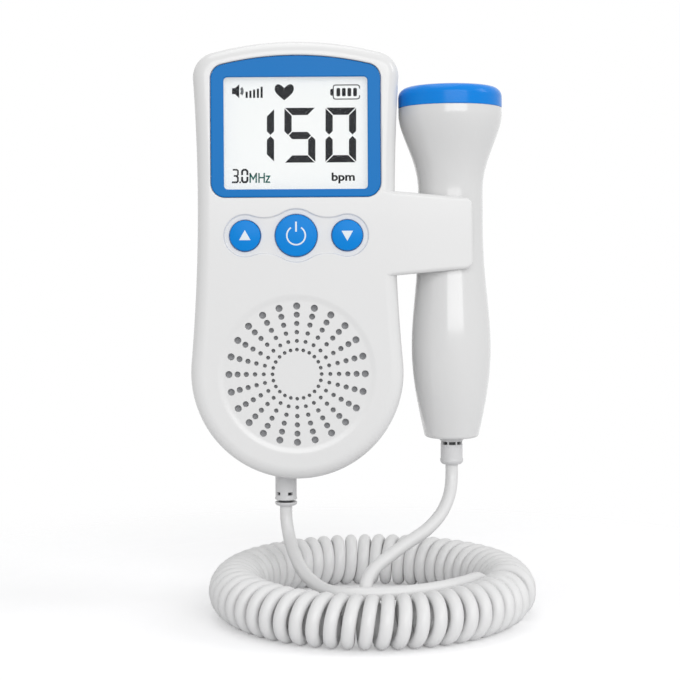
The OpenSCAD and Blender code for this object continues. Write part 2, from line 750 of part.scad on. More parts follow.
module plunger(x) {
  peg([x, button_z], plunger_r, board_front_d + button_travel + plunger_foot_gap, plunger_top_d, $fn = 32);
}

// A button: a slightly domed cap, the flange that keeps it in, and the stem that works its switch.
module button(x, r) {
  top_d = body_d + button_proud;
  edge = button_edge_r;
  turned([x, button_z]) polygon(concat(
    [[0, plunger_top_d], [stem_r, plunger_top_d], [stem_r, flange_back_d], [r + flange_w, flange_back_d],
      [r + flange_w, flange_front_d], [r, flange_front_d], [r, top_d - edge]],
    [for (i = [1:4]) [r - edge * (1 - cos(90 * i / 4)), top_d - edge * (1 - sin(90 * i / 4))]],
    [for (i = [5:-1:0]) [(r - edge) * i / 6, top_d + button_dome * (1 - pow(i / 6, 2))]]
  ));
}

module power_button() color("dodgerblue") button(0, power_r);
module up_button() color("dodgerblue") button(-button_pitch, side_button_r);
module down_button() color("dodgerblue") button(button_pitch, side_button_r);
module power_plunger() color("tan") plunger(0);
module up_plunger() color("tan") plunger(-button_pitch);
module down_plunger() color("tan") plunger(button_pitch);

module grille_cloth() color("black") peg([0, grille_z], speaker_r, speaker_front_d, front_inner_d, $fn = 96);

// The loudspeaker's basket: a rim, sloping sides and a floor with a hole for the magnet's core.
module speaker_frame() color("dimgray") turned([0, grille_z]) {
  rim_r = speaker_r - speaker_rim_w;
  rim_d = speaker_front_d - speaker_rim_t;
  back_d = speaker_front_d - speaker_t;
  polygon([
    [rim_r, speaker_front_d], [speaker_r, speaker_front_d], [speaker_r, rim_d], [rim_r + weld, rim_d],
    [magnet_r + 1, back_d], [basket_bore_r, back_d], [basket_bore_r, back_d + basket_t],
    [magnet_r + 1 - weld, back_d + basket_t], [rim_r, rim_d]
  ]);
}

// The cone: a flat edge inside the rim, a raised roll, sloping sides and a dust cap.
module speaker_cone() color("gray") turned([0, grille_z]) {
  edge_r = speaker_r - speaker_rim_w;
  edge_d = speaker_front_d - cone_rise;
  low_d = speaker_front_d - cone_back;
  polygon([
    [0, edge_d - weld], [dust_cap_r - 2, edge_d - 2 * weld], [dust_cap_r, low_d + cone_t],
    [edge_r - 2, edge_d], [edge_r - 1, edge_d + weld], [edge_r, edge_d], [edge_r, edge_d - cone_t],
    [edge_r - 1.6, edge_d - cone_t],
    [dust_cap_r, low_d], [0, low_d]
  ]);
}

module speaker_magnet() color("silver")
  peg([0, grille_z], magnet_r, magnet_back_d, speaker_front_d - speaker_t, $fn = 64);

module headphone_jack() color("black") difference() {
  union() {
    translate([jack_x + jack_nose_l, -jack_d - jack_size[1] / 2, jack_z - jack_size[2] / 2]) cube(jack_size);
    translate([jack_x, -jack_d, jack_z]) rotate([0, 90, 0])
      cylinder(r = jack_nose_r, h = jack_nose_l + weld, $fn = 48);
  }
  translate([jack_x - cut, -jack_d, jack_z]) rotate([0, 90, 0])
    cylinder(r = jack_bore_r, h = jack_bore_l + cut, $fn = 48);
}

module shell_screws() color("silver") for (c = shell_bosses) {
  peg(c, screw_r - thread_gap, screw_head_d - weld, screw_head_d + screw_l, $fn = 24);
  peg(c, screw_head_r, screw_head_d - screw_head_t, screw_head_d, $fn = 32);
}

// ---- batteries -----------------------------------------------------------------------------

// The two cells lie side by side, head to tail.
module cells() color("steelblue") for (i = [0, 1])
  translate([cell_x * (2 * i - 1), -cell_d, cell_low_z[i] + cell_l * i]) mirror([0, 0, i]) {
    cylinder(r = cell_r, h = cell_l - nub_l, $fn = 64);
    cylinder(r = nub_r, h = cell_l, $fn = 48);
  }

// A plate at each end of each cell. The one that meets the nub has a round bump pressed out of it.
module contact_plates() color("silver") for (i = [0, 1]) let (x = cell_x * (2 * i - 1)) {
  for (z = [bay_z[0], bay_z[1] - plate_t]) translate([x - plate_size / 2, -cell_d - plate_size / 2, z])
    cube([plate_size, plate_size, plate_t]);
  translate([x, -cell_d, i == 0 ? bay_z[1] - plate_t - bump_h : bay_z[0] + plate_t])
    cylinder(r = bump_r, h = bump_h, $fn = 32);
}

// A conical spring presses on each cell's flat end, drawn as a hollow cone between plate and cell.
module contact_springs() color("silver") for (i = [0, 1]) {
  seat_z = i == 0 ? bay_z[0] + plate_t : bay_z[1] - plate_t;
  gap_h = i == 0 ? cell_low_z[0] - seat_z : seat_z - cell_low_z[1] - cell_l;
  translate([cell_x * (2 * i - 1), -cell_d, seat_z]) mirror([0, 0, i]) difference() {
    cylinder(r1 = spring_r, r2 = spring_top_r, h = gap_h - contact_gap, $fn = 32);
    translate([0, 0, -cut]) cylinder(r = spring_bore_r, h = gap_h + 2 * cut, $fn = 32);
  }
}

// ---- probe ---------------------------------------------------------------------------------

// A profile of radius and height, turned about the probe's axis.
module on_probe($fn = 96) {
  translate([probe_x, -parting_d, 0]) rotate_extrude() children();
}

module probe_shell() color("white") on_probe() difference() {
  lip_r = probe_radius(tail_z + probe_lip);
  polygon(concat(
    [[0, tail_z]],
    [for (i = [0:5]) [lip_r - probe_lip * (1 - sin(18 * i)), tail_z + probe_lip * (1 - cos(18 * i))]],
    [for (z = probe_heights()) if (z > tail_z + probe_lip) [probe_radius(z), z]],
    [[head_r, shell_top_z], [0, shell_top_z]]
  ));
  polygon(concat(
    [[0, floor_z], [probe_radius(floor_z) - probe_wall, floor_z]],
    [for (z = probe_heights()) if (z > floor_z + weld) [probe_radius(z) - probe_wall, z]],
    [[head_r - probe_wall, shell_top_z + cut], [0, shell_top_z + cut]]
  ));
  translate([0, tail_z - cut]) square([gland_neck_r + gland_fit, floor_z - tail_z + 2 * cut]);
}

// The blue cap: a rounded shoulder and a faintly domed face, with a ring that fits into the head.
module probe_cap() color("dodgerblue") on_probe() {
  r = head_r + cap_over;
  low_z = shell_top_z - cap_ring_l;
  polygon(concat(
    [[0, piezo_top_z], [cap_ring_r - cap_ring_w, piezo_top_z], [cap_ring_r - cap_ring_w, low_z],
      [cap_ring_r, low_z], [cap_ring_r, shell_top_z], [r - slip, shell_top_z], [r, shell_top_z + 2 * slip]],
    [for (i = [0:6])
      [r - cap_shoulder_r * (1 - cos(15 * i)), cap_z - cap_dome - cap_shoulder_r * (1 - sin(15 * i))]],
    [for (i = [5:-1:0]) [(r - cap_shoulder_r) * i / 6, cap_z - cap_dome * pow(i / 6, 2)]]
  ));
}

module piezo_disc() color("gold") translate([probe_x, -parting_d, piezo_top_z - piezo_t])
  cylinder(r = piezo_pad_r - 1, h = piezo_t, $fn = 64);

// A pad of damping foam that backs the disc, inside the cap's ring.
module piezo_holder() color("dimgray") translate([probe_x, -parting_d, piezo_top_z - piezo_t - piezo_pad_t])
  cylinder(r = piezo_pad_r, h = piezo_pad_t, $fn = 64);

// A narrow board in the grip, standing on the strain relief's flange.
module probe_board() color("darkgreen") {
  low_z = tail_z + tail_flange_z + tail_flange_t;
  w = 2 * (probe_radius(low_z) - probe_wall - slip);
  translate([probe_x - w / 2, -parting_d - board_t / 2, low_z]) cube([w, board_t, probe_board_l]);
}

// ---- strain reliefs ------------------------------------------------------------------------

// Slots round a sleeve, four to a turn.
module ring_slots(r, z) {
  for (k = [0:3]) rotate([0, 0, 90 * k + 18]) translate([0, 0, z]) rotate_extrude(angle = slot_a, $fn = 96)
    translate([r - slot_depth, 0]) square([2 * slot_depth, slot_h]);
}

module main_gland() color("white") translate([gland_x, -parting_d, gland_seat_z]) difference() {
  neck = gland_neck_r;
  flange = neck + gland_flange_w;
  rotate_extrude($fn = 64) polygon([
    [0, gland_flange_z + gland_flange_t], [flange, gland_flange_z + gland_flange_t], [flange, gland_flange_z],
    [neck, gland_flange_z], [neck, 0], [gland_r, 0],
    for (p = [[0, 1], [1, 0.75], [1, 0.25], [0, 0]])
      [gland_r - gland_groove_depth * p[0], gland_groove_z + gland_groove_h * p[1]],
    [gland_r, gland_edge_r - gland_l], [gland_r - gland_edge_r, -gland_l], [0, -gland_l]
  ]);
  ring_slots(gland_r, main_slot_z);
}

module probe_gland() color("white") translate([probe_x, -parting_d, tail_z]) difference() {
  neck = gland_neck_r;
  flange = neck + gland_flange_w;
  rotate_extrude($fn = 64) polygon([
    [0, tail_flange_z + tail_flange_t], [flange, tail_flange_z + tail_flange_t], [flange, tail_flange_z],
    [neck, tail_flange_z], [neck, 0], [tail_gland_flare_r, 0], [tail_gland_r + tail_flare_w, -tail_flare_l],
    [tail_gland_r, tail_lip_z + tail_lip_slope], [tail_gland_lip_r, tail_lip_z],
    [tail_gland_lip_r, tail_lip_z - tail_lip_h], [tail_gland_r - tail_lip_slope, -tail_gland_l],
    [0, -tail_gland_l]
  ]);
  ring_slots(tail_gland_r, tail_slot_z);
}

// ---- cord ----------------------------------------------------------------------------------

// Carries a sideways direction along a route, always square to it, so that the tube doesn't twist.
function carried(along, i = 0, u = [1, 0, 0]) = i == len(along) ? []
  : let (v = u - (u * along[i]) * along[i], w = v / norm(v)) concat([w], carried(along, i + 1, w));

// A tube of the cable's diameter along a route that starts straight down.
module cable(route) {
  n = len(route);
  along = [for (i = [0:n - 1])
    i == 0 ? [0, 0, -1] : let (v = route[min(i + 1, n - 1)] - route[i - 1]) v / norm(v)];
  side = carried(along);
  corners = [for (i = [0:n - 1], k = [0:cable_sides - 1]) let (a = 360 * k / cable_sides)
    route[i] + cable_d / 2 * (side[i] * cos(a) + cross(along[i], side[i]) * sin(a))];
  polyhedron(points = corners, faces = concat(
    [[for (k = [0:cable_sides - 1]) k]],
    [for (i = [0:n - 2], k = [0:cable_sides - 1])
      let (a = i * cable_sides, b = a + cable_sides, m = (k + 1) % cable_sides) [a + k, b + k, b + m, a + m]],
    [[for (k = [cable_sides - 1:-1:0]) (n - 1) * cable_sides + k]]
  ));
}

module lead_main() color("whitesmoke") cable(lead_main_route);
module lead_probe() color("whitesmoke") cable(lead_probe_route);

// The coil, as one ring of the curly cord's outer diameter with a gap where its two ends come in.
module curly_cord() color("whitesmoke") translate(coil_c)
  rotate([0, 0, coil_start_a + coil_gap_a / 2]) rotate_extrude(angle = 360 - coil_gap_a, $fn = 120)
    translate([coil_ring_r, 0]) circle(r = coil_d / 2, $fn = 48);

front_shell();
rear_shell();
display_bezel();
display_window();
lcd_panel();
lcd_backlight();
lcd_holder();
main_board();
board_chips();
board_screws();
button_switches();
grille_cloth();
speaker_frame();
speaker_cone();
speaker_magnet();
headphone_jack();
main_gland();
shell_screws();
cells();
contact_plates();
contact_springs();
battery_door();
power_button();
power_plunger();
up_button();
up_plunger();
down_button();
down_plunger();
probe_shell();
probe_cap();
piezo_disc();
piezo_holder();
probe_board();
probe_gland();
lead_main();
curly_cord();
lead_probe();
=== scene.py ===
"""Looks of the fetal doppler monitor: camera, studio, cords, shells, display, buttons and probe.

Every length in the measures below is in millimetres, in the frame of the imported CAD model: +X to
the right, +Z up, front -Y. A depth is measured forwards from the back face, so y = -depth.
"""

import math

import bpy
import numpy as np
from mathutils import Matrix, Vector


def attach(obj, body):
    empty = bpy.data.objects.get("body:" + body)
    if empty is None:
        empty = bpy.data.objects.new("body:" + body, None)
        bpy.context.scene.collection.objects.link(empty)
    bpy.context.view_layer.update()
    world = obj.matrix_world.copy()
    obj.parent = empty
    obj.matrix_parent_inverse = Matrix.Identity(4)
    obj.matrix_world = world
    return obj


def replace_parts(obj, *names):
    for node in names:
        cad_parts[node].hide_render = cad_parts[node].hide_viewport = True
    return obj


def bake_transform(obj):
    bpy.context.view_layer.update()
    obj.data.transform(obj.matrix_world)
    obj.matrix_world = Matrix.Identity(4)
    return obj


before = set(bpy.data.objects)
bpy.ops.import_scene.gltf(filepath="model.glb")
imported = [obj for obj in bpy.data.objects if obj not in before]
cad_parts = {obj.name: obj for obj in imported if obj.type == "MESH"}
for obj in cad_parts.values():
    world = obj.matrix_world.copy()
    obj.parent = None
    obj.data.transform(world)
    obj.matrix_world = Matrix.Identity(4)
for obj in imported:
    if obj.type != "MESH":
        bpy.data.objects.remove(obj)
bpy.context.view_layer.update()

MM = 0.001
SCENE = bpy.context.scene

# ---- measures, as in the part's source --------------------------------------------------------
# The probe's cap alone sits 0.5 mm lower than in the source, where the photo shows it.

BODY_H, BODY_D, PARTING = 136.0, 32.0, 16.6
BOTTOM_R, WAIST_W, WAIST_Z, CROWN_R, CORNER_R = 33.1, 61.4, 18.7, 103.0, 7.8
FRONT_EDGE_R, WALL = 4.0, 2.2
BEZEL_W, BEZEL_Z, BEZEL_CROWN_GAP, BEZEL_R = 52.5, 19.6, 4.7, 4.4
BEZEL_FLOOR, BEZEL_FRONT = 30.7, 31.7
SCREEN_W, SCREEN_H, SCREEN_Z, SCREEN_R = 44.5, 34.7, 39.4, 1.2
LCD_FRONT, LCD_MARGIN, SLIP = 28.8, 1.2, 0.15
POWER_R, SIDE_R, PITCH, BUTTON_Z, BUTTON_PROUD = 6.45, 4.75, 15.8, 7.7, 0.6
RECESS_POWER_R, RECESS_SIDE_R, RECESS_FILLET_R, RECESS_DEPTH = 8.3, 6.6, 11.0, 0.6
GRILLE_Z, SPOKES, RINGS, RING_FIRST, RING_STEP = -35.2, 24, 6, 7.6, 2.7
HOLE_SMALL, HOLE_LARGE, DISH_DEPTH, DISH_R, DISH_SLOPE = 1.12, 2.15, 0.3, 24.0, 1.5
PROBE_X, CLIP_REACH, CLIP_ROOT_H, CLIP_TIP_H, CLIP_Z, CLIP_CORNER_R = 48.8, 6.0, 26.9, 21.8, 8.2, 2.6
CLIP_TIP_T, CLIP_GAP = 1.8, 0.3
HEAD_R, NECK_R, GRIP_R, TAIL_R, CAP_TOP, CAP_H, TAIL_Z = 16.45, 10.3, 12.6, 8.5, 55.6, 7.4, -56.6
GRIP_Z, NECK_TOP, NECK_LOW, FLARE_Z, PROBE_WALL, PROBE_LIP = -28.0, 22.0, 12.0, 46.0, 1.8, 1.2
JACK_Z, JACK_D, GLAND_X, GLAND_R, GLAND_Z, GLAND_L = -4.5, 20.2, -4.2, 3.4, -68.1, 10.0
SLOT_DEPTH, SLOT_H, LEAD_BORE_R = 1.25, 0.95, 2.45
CABLE_D, RING_R, COIL_D, FLOOR_Z = 4.0, 42.4, 16.8, -110.4
COIL = np.array([22.9, -28.0, FLOOR_Z + COIL_D / 2])
FRONT_INNER = BODY_D - WALL
CUT = 1.0   # how far a cutter runs past the face that it opens
# Each button: its name, its place across the unit and its radius.
BUTTONS = (("power", 0.0, POWER_R), ("up", -PITCH, SIDE_R), ("down", PITCH, SIDE_R))
# The photo against the part, for marks measured in its pixels: the camera's x, depth and z, its focal
# length, half the picture's side, the row at the camera's height, and the roll.
EYE_X, EYE_DEPTH, EYE_Z = 13.4, 508.5, 6.86
FOCAL, MIDDLE, EYE_ROW, ROLL = 1540.0, 340.0, 238.0, 0.007

# The leads' routes, as in the part's source, with the main unit's lead up to 1.1 mm lower in front.
MAIN_ROUTE = np.array([
    [-4.2, -16.6, -78.1], [-4.2, -16.6, -82], [-3.4, -18.5, -87], [-1.2, -26, -92.3], [1.6, -35, -95.5],
    [5.4, -45, -97.1], [9, -53.5, -97.2], [13.5, -60, -96.7], [21, -61.8, -96.4], [29, -61.2, -96.3],
    [37, -58.6, -96.2], [44, -54, -96.2], [50.8, -46.4, -96.5], [55.4, -39.8, -97.2]])
PROBE_ROUTE = np.array([
    [48.8, -16.6, -65.2], [48.8, -16.6, -68.5], [48.2, -18.4, -73.5], [46, -22, -78.5],
    [40.8, -28.2, -83.5], [33.5, -34.6, -87.2], [27.2, -41, -90.4], [23, -46, -93],
    [20.8, -50.6, -96], [21, -54.8, -99.8], [25.5, -57.8, -103.8], [33.5, -56.6, -106.4],
    [41, -51.6, -107], [47.2, -45, -106.4], [52, -40.4, -104.8]])


# ---- camera -----------------------------------------------------------------------------------

def placed(name, data):
    """A new object in the scene."""
    made = bpy.data.objects.new(name, data)
    SCENE.collection.objects.link(made)
    return made


def aim_camera():
    """A long lens in front of the unit at its middle, with a small tilt, turn and roll."""
    pitch, yaw, roll = 0.0083, -0.00166, -0.00575
    ahead = Vector((math.sin(yaw) * math.cos(pitch), math.cos(yaw) * math.cos(pitch), -math.sin(pitch)))
    across = Vector((math.cos(yaw), -math.sin(yaw), 0))
    above = across.cross(ahead)
    right = across * math.cos(roll) + above * math.sin(roll)
    up = above * math.cos(roll) - across * math.sin(roll)
    lens = bpy.data.cameras.new("camera")
    lens.sensor_width = 36
    lens.lens = 76.58
    lens.shift_y = -0.10
    lens.clip_start, lens.clip_end = 0.01, 20
    SCENE.camera = placed("camera", lens)
    turn = Matrix((right, up, -ahead)).transposed().to_4x4()
    SCENE.camera.matrix_world = Matrix.Translation(Vector((14.217, -478.70, 0.06)) * MM) @ turn


aim_camera()
SCENE.view_settings.view_transform = "Standard"


# ---- node helpers -----------------------------------------------------------------------------

class Nodes:
    """Short hand for building a node tree: add a node, set its values and link its inputs."""

    def __init__(self, tree):
        self.tree = tree

    def fill(self, node, **values):
        """Sets a node's own values, and its inputs by name, with _ for a space, or by number as i0.
        A colour of three numbers is an sRGB one."""
        for key, value in values.items():
            if key in node.bl_rna.properties.keys():
                setattr(node, key, value)
                continue
            socket = node.inputs[int(key[1:]) if key[1:].isdigit() else key.replace("_", " ")]
            if isinstance(value, bpy.types.NodeSocket):
                self.tree.links.new(value, socket)
            else:
                srgb = socket.type == "RGBA" and len(value) == 3
                socket.default_value = colour(*value) if srgb else value
        return node

    def add(self, kind, *, out=0, **values):
        return self.fill(self.tree.nodes.new(kind), **values).outputs[out]

    def place(self):
        return self.add("ShaderNodeTexCoord", out="Object")

    def math(self, operation, a, b=0.0, c=0.0, clamp=False):
        return self.add("ShaderNodeMath", operation=operation, use_clamp=clamp, i0=a, i1=b, i2=c)

    def mix(self, factor, a, b):
        return self.add("ShaderNodeMix", data_type="RGBA", i0=factor, i6=a, i7=b, out=2)

    def span(self, value, a, b, c=0.0, d=1.0):
        return self.add("ShaderNodeMapRange", Value=value, From_Min=a, From_Max=b, To_Min=c, To_Max=d)

    def bump(self, height, strength):
        return self.add("ShaderNodeBump", Strength=strength, Distance=0.0001, Height=height)

    def noise(self, where, scale, detail=2.0, rough=0.5):
        return self.add("ShaderNodeTexNoise", Vector=where, Scale=scale, Detail=detail, Roughness=rough)


def colour(r, g, b):
    """An sRGB colour, 0 to 255, as the linear one that shaders take."""
    s = np.array([r, g, b]) / 255
    return tuple(np.where(s <= 0.04045, s / 12.92, ((s + 0.055) / 1.055) ** 2.4)) + (1.0,)


def group(name, inputs, build):
    """A shader node group. Each input has a name and a default value, None for a colour. build gets
    the tree's helper and its inputs, and gives the outputs by name."""
    tree = bpy.data.node_groups.new(name, "ShaderNodeTree")
    for label, value in inputs.items():
        kind = "NodeSocketColor" if value is None else "NodeSocketFloat"
        socket = tree.interface.new_socket(label, in_out="INPUT", socket_type=kind)
        if value is not None:
            socket.default_value = value
    n = Nodes(tree)
    made = build(n, tree.nodes.new("NodeGroupInput").outputs)
    for label, socket in made.items():
        kind = "NodeSocketColor" if socket.type == "RGBA" else "NodeSocketFloat"
        tree.interface.new_socket(label, in_out="OUTPUT", socket_type=kind)
    n.fill(tree.nodes.new("NodeGroupOutput"), **made)
    return tree


def moulded(n, given):
    """Moulded plastic: a fine even grain, a slower drift in gloss, and a faint drift in colour."""
    where = n.place()
    fine = n.noise(where, given["Grain Scale"], 2.0, 0.6)
    slow = n.noise(where, 38.0, 3.0, 0.55)
    tone = n.noise(where, 14.0, 2.0, 0.5)
    rough = n.math("MULTIPLY_ADD", n.math("SUBTRACT", slow, 0.5), given["Gloss Drift"], given["Roughness"])
    shade = n.math("MULTIPLY_ADD", n.math("SUBTRACT", tone, 0.5), given["Tone Drift"], 1.0)
    value = n.add("ShaderNodeHueSaturation", Hue=0.5, Saturation=1.0, Value=shade, Fac=1.0,
                  Color=given["Colour"])
    return {"Colour": value, "Roughness": rough, "Height": fine}


def broken_mask(n, given, a, b):
    """The product of two values and the group's Amount, kept between 0 and 1."""
    return {"Mask": n.math("MULTIPLY", n.math("MULTIPLY", a, b), given["Amount"], clamp=True)}


def settled_dust(n, given):
    """Faint dust: thicker on faces that look up, broken up by a fine noise."""
    facing = n.add("ShaderNodeSeparateXYZ", Vector=n.add("ShaderNodeNewGeometry", out="Normal"), out="Z")
    specks = n.span(n.noise(n.place(), 900.0, 3.0, 0.7), 0.5, 0.75)
    return broken_mask(n, given, specks, n.span(facing, 0.55, 1.0))


def rubbed_edge(n, given):
    """Edge wear: a light line where the surface turns sharply outwards, broken up by noise."""
    line = n.span(n.add("ShaderNodeNewGeometry", out="Pointiness"), 0.53, 0.62)
    return broken_mask(n, given, line, n.span(n.noise(n.place(), 420.0, 3.0, 0.6), 0.35, 0.65))


MOULDED = group("moulded_plastic", {"Colour": None, "Roughness": 0.3, "Gloss Drift": 0.1,
                                    "Tone Drift": 0.02, "Grain Scale": 2500.0}, moulded)
DUST = group("settled_dust", {"Amount": 0.1}, settled_dust)
RUBBED = group("rubbed_edge", {"Amount": 0.2}, rubbed_edge)


def material(name):
    """A new material's Principled shader, and the helper to fill it."""
    made = bpy.data.materials.new(name)
    made.use_nodes = True
    return made, made.node_tree.nodes["Principled BSDF"], Nodes(made.node_tree)


def dressed(name, look, *given):
    """A material whose shader takes the values that look(helper, place, ...) gives."""
    made, shader, n = material(name)
    n.fill(shader, **look(n, n.place(), *given))
    return made


def plastic(name, rgb, rough=0.3, grain=0.02, drift=0.1, tone=0.02, dust=0.08, wear=0.1, coat=0.0,
            specular=0.5, grain_scale=2500.0, core=None):
    """Moulded plastic of one colour, with grain, drift in gloss, a little dust and rubbed edges. A second,
    darker colour is painted shade, mixed in where the piece's own attribute of that name marks its hollows."""
    made, shader, n = material(name)
    base = n.add("ShaderNodeGroup", node_tree=MOULDED, Colour=rgb, Roughness=rough, Gloss_Drift=drift,
                 Tone_Drift=tone, Grain_Scale=grain_scale).node.outputs
    tinted = base["Colour"]
    if wear:
        light = [c + (255 - c) * 0.35 for c in rgb]
        tinted = n.mix(n.add("ShaderNodeGroup", node_tree=RUBBED, Amount=wear), tinted, light)
    if dust:
        tinted = n.mix(n.add("ShaderNodeGroup", node_tree=DUST, Amount=dust), tinted, (206, 204, 200))
    # Painted shade: a darker colour where the piece's attribute marks its hollows.
    if core:
        tinted = n.mix(n.add("ShaderNodeAttribute", attribute_name="core", out=2), tinted, core)
    n.fill(shader, Base_Color=tinted, Roughness=base["Roughness"], Normal=n.bump(base["Height"], grain),
           Specular_IOR_Level=specular, Coat_Weight=coat, Coat_Roughness=0.08)
    return made


# ---- mesh helpers -----------------------------------------------------------------------------

def read(items, name, width=1, kind=float):
    """One property of every item in a mesh's list, as numbers or as rows of `width` numbers."""
    values = np.empty(len(items) * width, kind)
    items.foreach_get(name, values)
    return values.reshape(-1, width) if width > 1 else values


def settle(mesh, angle=38.0):
    """Corner normals: at each point, a face takes the mean of the faces round that point that turn
    less than `angle` from it, each weighted by its area, so that flats stay flat beside curves."""
    vert = read(mesh.loops, "vertex_index", kind=np.int64)
    total = read(mesh.polygons, "loop_total", kind=np.int64)
    area, normal = read(mesh.polygons, "area"), read(mesh.polygons, "normal", 3)
    corners, faces = len(vert), len(total)
    face = np.repeat(np.arange(faces), total)
    order = np.argsort(vert, kind="stable")
    count = np.bincount(vert, minlength=len(mesh.vertices))
    first = np.cumsum(count) - count
    mates = count[vert]
    here = np.repeat(np.arange(corners), mates)
    step = np.arange(len(here)) - np.repeat(np.cumsum(mates) - mates, mates)
    other = order[first[vert[here]] + step]
    near = (normal[face[here]] * normal[face[other]]).sum(1) > math.cos(math.radians(angle))
    pull = normal[face[other]] * (area[face[other]] * near)[:, None]
    summed = np.stack([np.bincount(here, pull[:, k], corners) for k in range(3)], 1)
    size = np.linalg.norm(summed, axis=1)
    summed = np.where(size[:, None] > 1e-15, summed / np.maximum(size, 1e-15)[:, None], normal[face])
    mesh.polygons.foreach_set("use_smooth", np.ones(faces, bool))
    mesh.normals_split_custom_set(summed.tolist())
    mesh.update()


def raw_mesh(name, points, faces):
    """A mesh from points in millimetres and faces given as lists of point numbers."""
    mesh = bpy.data.meshes.new(name)
    mesh.from_pydata((np.asarray(points, float) * MM).tolist(), [], faces)
    mesh.update()
    return mesh


def piece(name, form, body, finish, angle=38.0):
    """Puts a form, which is a mesh or (points, faces), into the scene, with its normals, material
    and body."""
    mesh = raw_mesh(name, *form) if isinstance(form, tuple) else form
    settle(mesh, angle)
    made = placed(name, mesh)
    mesh.materials.clear()
    mesh.materials.append(finish)
    if body:
        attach(made, body)
    return made


def stand_in(name, form, body, node, finish):
    """A finished piece that is shown in place of a CAD node."""
    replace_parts(piece(name, form, body, finish), node)


def steps_of(path):
    """Distances from each point of a path to the next."""
    return np.linalg.norm(np.diff(path, axis=0), axis=1)


def unit(rows):
    """Each row as a direction of length one."""
    return rows / np.linalg.norm(rows, axis=1)[:, None]


def full_turn(n):
    """n angles at an even spacing round a circle, from zero."""
    return 2 * np.pi * np.arange(n) / n


def quarter(n):
    """Angles from zero to a quarter turn in n steps."""
    return np.radians(np.linspace(0, 90, n + 1))


def joined(*parts):
    """Several (points, faces) as one."""
    points, faces, base = [], [], 0
    for p, f in parts:
        points.append(np.asarray(p, float))
        faces += [[i + base for i in face] for face in f]
        base += len(p)
    return np.concatenate(points), faces


def net(rows, cols):
    """Faces of a grid of points, rows by cols, whose columns close on themselves."""
    r, c = np.meshgrid(np.arange(rows - 1), np.arange(cols), indexing="ij")
    a, d = r * cols + c, r * cols + (c + 1) % cols
    return np.stack([a, d, d + cols, a + cols], -1).reshape(-1, 4).tolist()


def loft(rings):
    """A closed solid: rings of points, one after another, with a flat face over each end."""
    rings = np.asarray(rings, float)
    m, n = rings.shape[:2]
    faces = net(m, n)
    faces.append(list(range(n))[::-1])
    faces.append(list(range((m - 1) * n, m * n)))
    return facing_out(rings.reshape(-1, 3), faces)


def facing_out(points, faces):
    """A closed solid, with its faces turned round if its signed volume is below zero."""
    tri = np.array([[f[0], f[k], f[k + 1]] for f in faces for k in range(1, len(f) - 1)])
    a, b, c = points[tri[:, 0]], points[tri[:, 1]], points[tri[:, 2]]
    return points, faces if (a * np.cross(b, c)).sum() > 0 else [f[::-1] for f in faces]


def turned(profile, steps=128, axis="z", at=(0.0, 0.0, 0.0)):
    """A profile of (radius, height) carried round an axis: each point goes to radius times the
    cosine and sine of the turn. A point on the axis is one pole. An open profile ends on the axis,
    and any other closes on itself. Heights run up along z, or forwards from the back face along y."""
    profile = np.asarray(profile, float)
    poles = profile[0, 0] < 1e-6 and profile[-1, 0] < 1e-6
    body = profile[1:-1] if poles else np.concatenate([profile, profile[:1]])
    a = full_turn(steps)
    ring = np.stack([body[:, :1] * np.cos(a), body[:, :1] * np.sin(a),
                     np.repeat(body[:, 1:], steps, 1)], -1)
    m = len(body)
    if poles:
        points = np.concatenate([ring.reshape(-1, 3), [[0, 0, profile[0, 1]], [0, 0, profile[-1, 1]]]])
        faces = net(m, steps)
        k = np.arange(steps)
        low = np.stack([(k + 1) % steps, k, np.full(steps, m * steps)], 1)
        high = np.stack([(m - 1) * steps + k, (m - 1) * steps + (k + 1) % steps,
                         np.full(steps, m * steps + 1)], 1)
        faces += low.tolist() + high.tolist()
    else:
        points = ring[:-1].reshape(-1, 3)
        faces = (np.array(net(m, steps)) % ((m - 1) * steps)).tolist()
    if axis == "y":
        points = np.stack([points[:, 0], -points[:, 2], points[:, 1]], 1)
    return facing_out(points + np.asarray(at, float), faces)


def outcome(held, *spare):
    """The mesh that an object comes out as, after which it and the spare objects are removed."""
    bpy.context.view_layer.update()
    made = bpy.data.meshes.new_from_object(held.evaluated_get(bpy.context.evaluated_depsgraph_get()))
    for done in (held, *spare):
        bpy.data.objects.remove(done)
    return made


def cut_from(solid, *cutters, operation="DIFFERENCE"):
    """The solid with each cutter taken out of it, or joined to it, as a new mesh."""
    base = placed("work", raw_mesh("work", *solid) if isinstance(solid, tuple) else solid)
    tools = [placed(f"tool_{k}", raw_mesh(f"tool_{k}", *cutter)) for k, cutter in enumerate(cutters)]
    for tool in tools:
        step = base.modifiers.new(tool.name, "BOOLEAN")
        step.operation, step.solver, step.object = operation, "MANIFOLD", tool
    return outcome(base, *tools)


def pressed(outline, stations):
    """A solid seen from the front: outline(inset) gives its x and z at each station's inset and depth."""
    return loft([np.insert(outline(g), 1, -d, axis=1) for g, d in stations])


def arc(centre, r, a0, a1, n, last=True):
    """Points of an arc in degrees about a centre."""
    a = np.radians(np.linspace(a0, a1, n + 1))
    a = a if last else a[:-1]
    return np.stack([centre[0] + r * np.cos(a), centre[1] + r * np.sin(a)], 1)


# ---- outlines seen from the front -------------------------------------------------------------

BOTTOM_Z = -BODY_H / 2 + BOTTOM_R
CROWN_Z = BODY_H / 2 - CROWN_R
HALF_WAIST = WAIST_W / 2
WAIST_RISE = WAIST_Z - BOTTOM_Z
WAIST_R = (HALF_WAIST ** 2 + WAIST_RISE ** 2 - BOTTOM_R ** 2) / (2 * (BOTTOM_R - HALF_WAIST))
WAIST_X = HALF_WAIST + WAIST_R


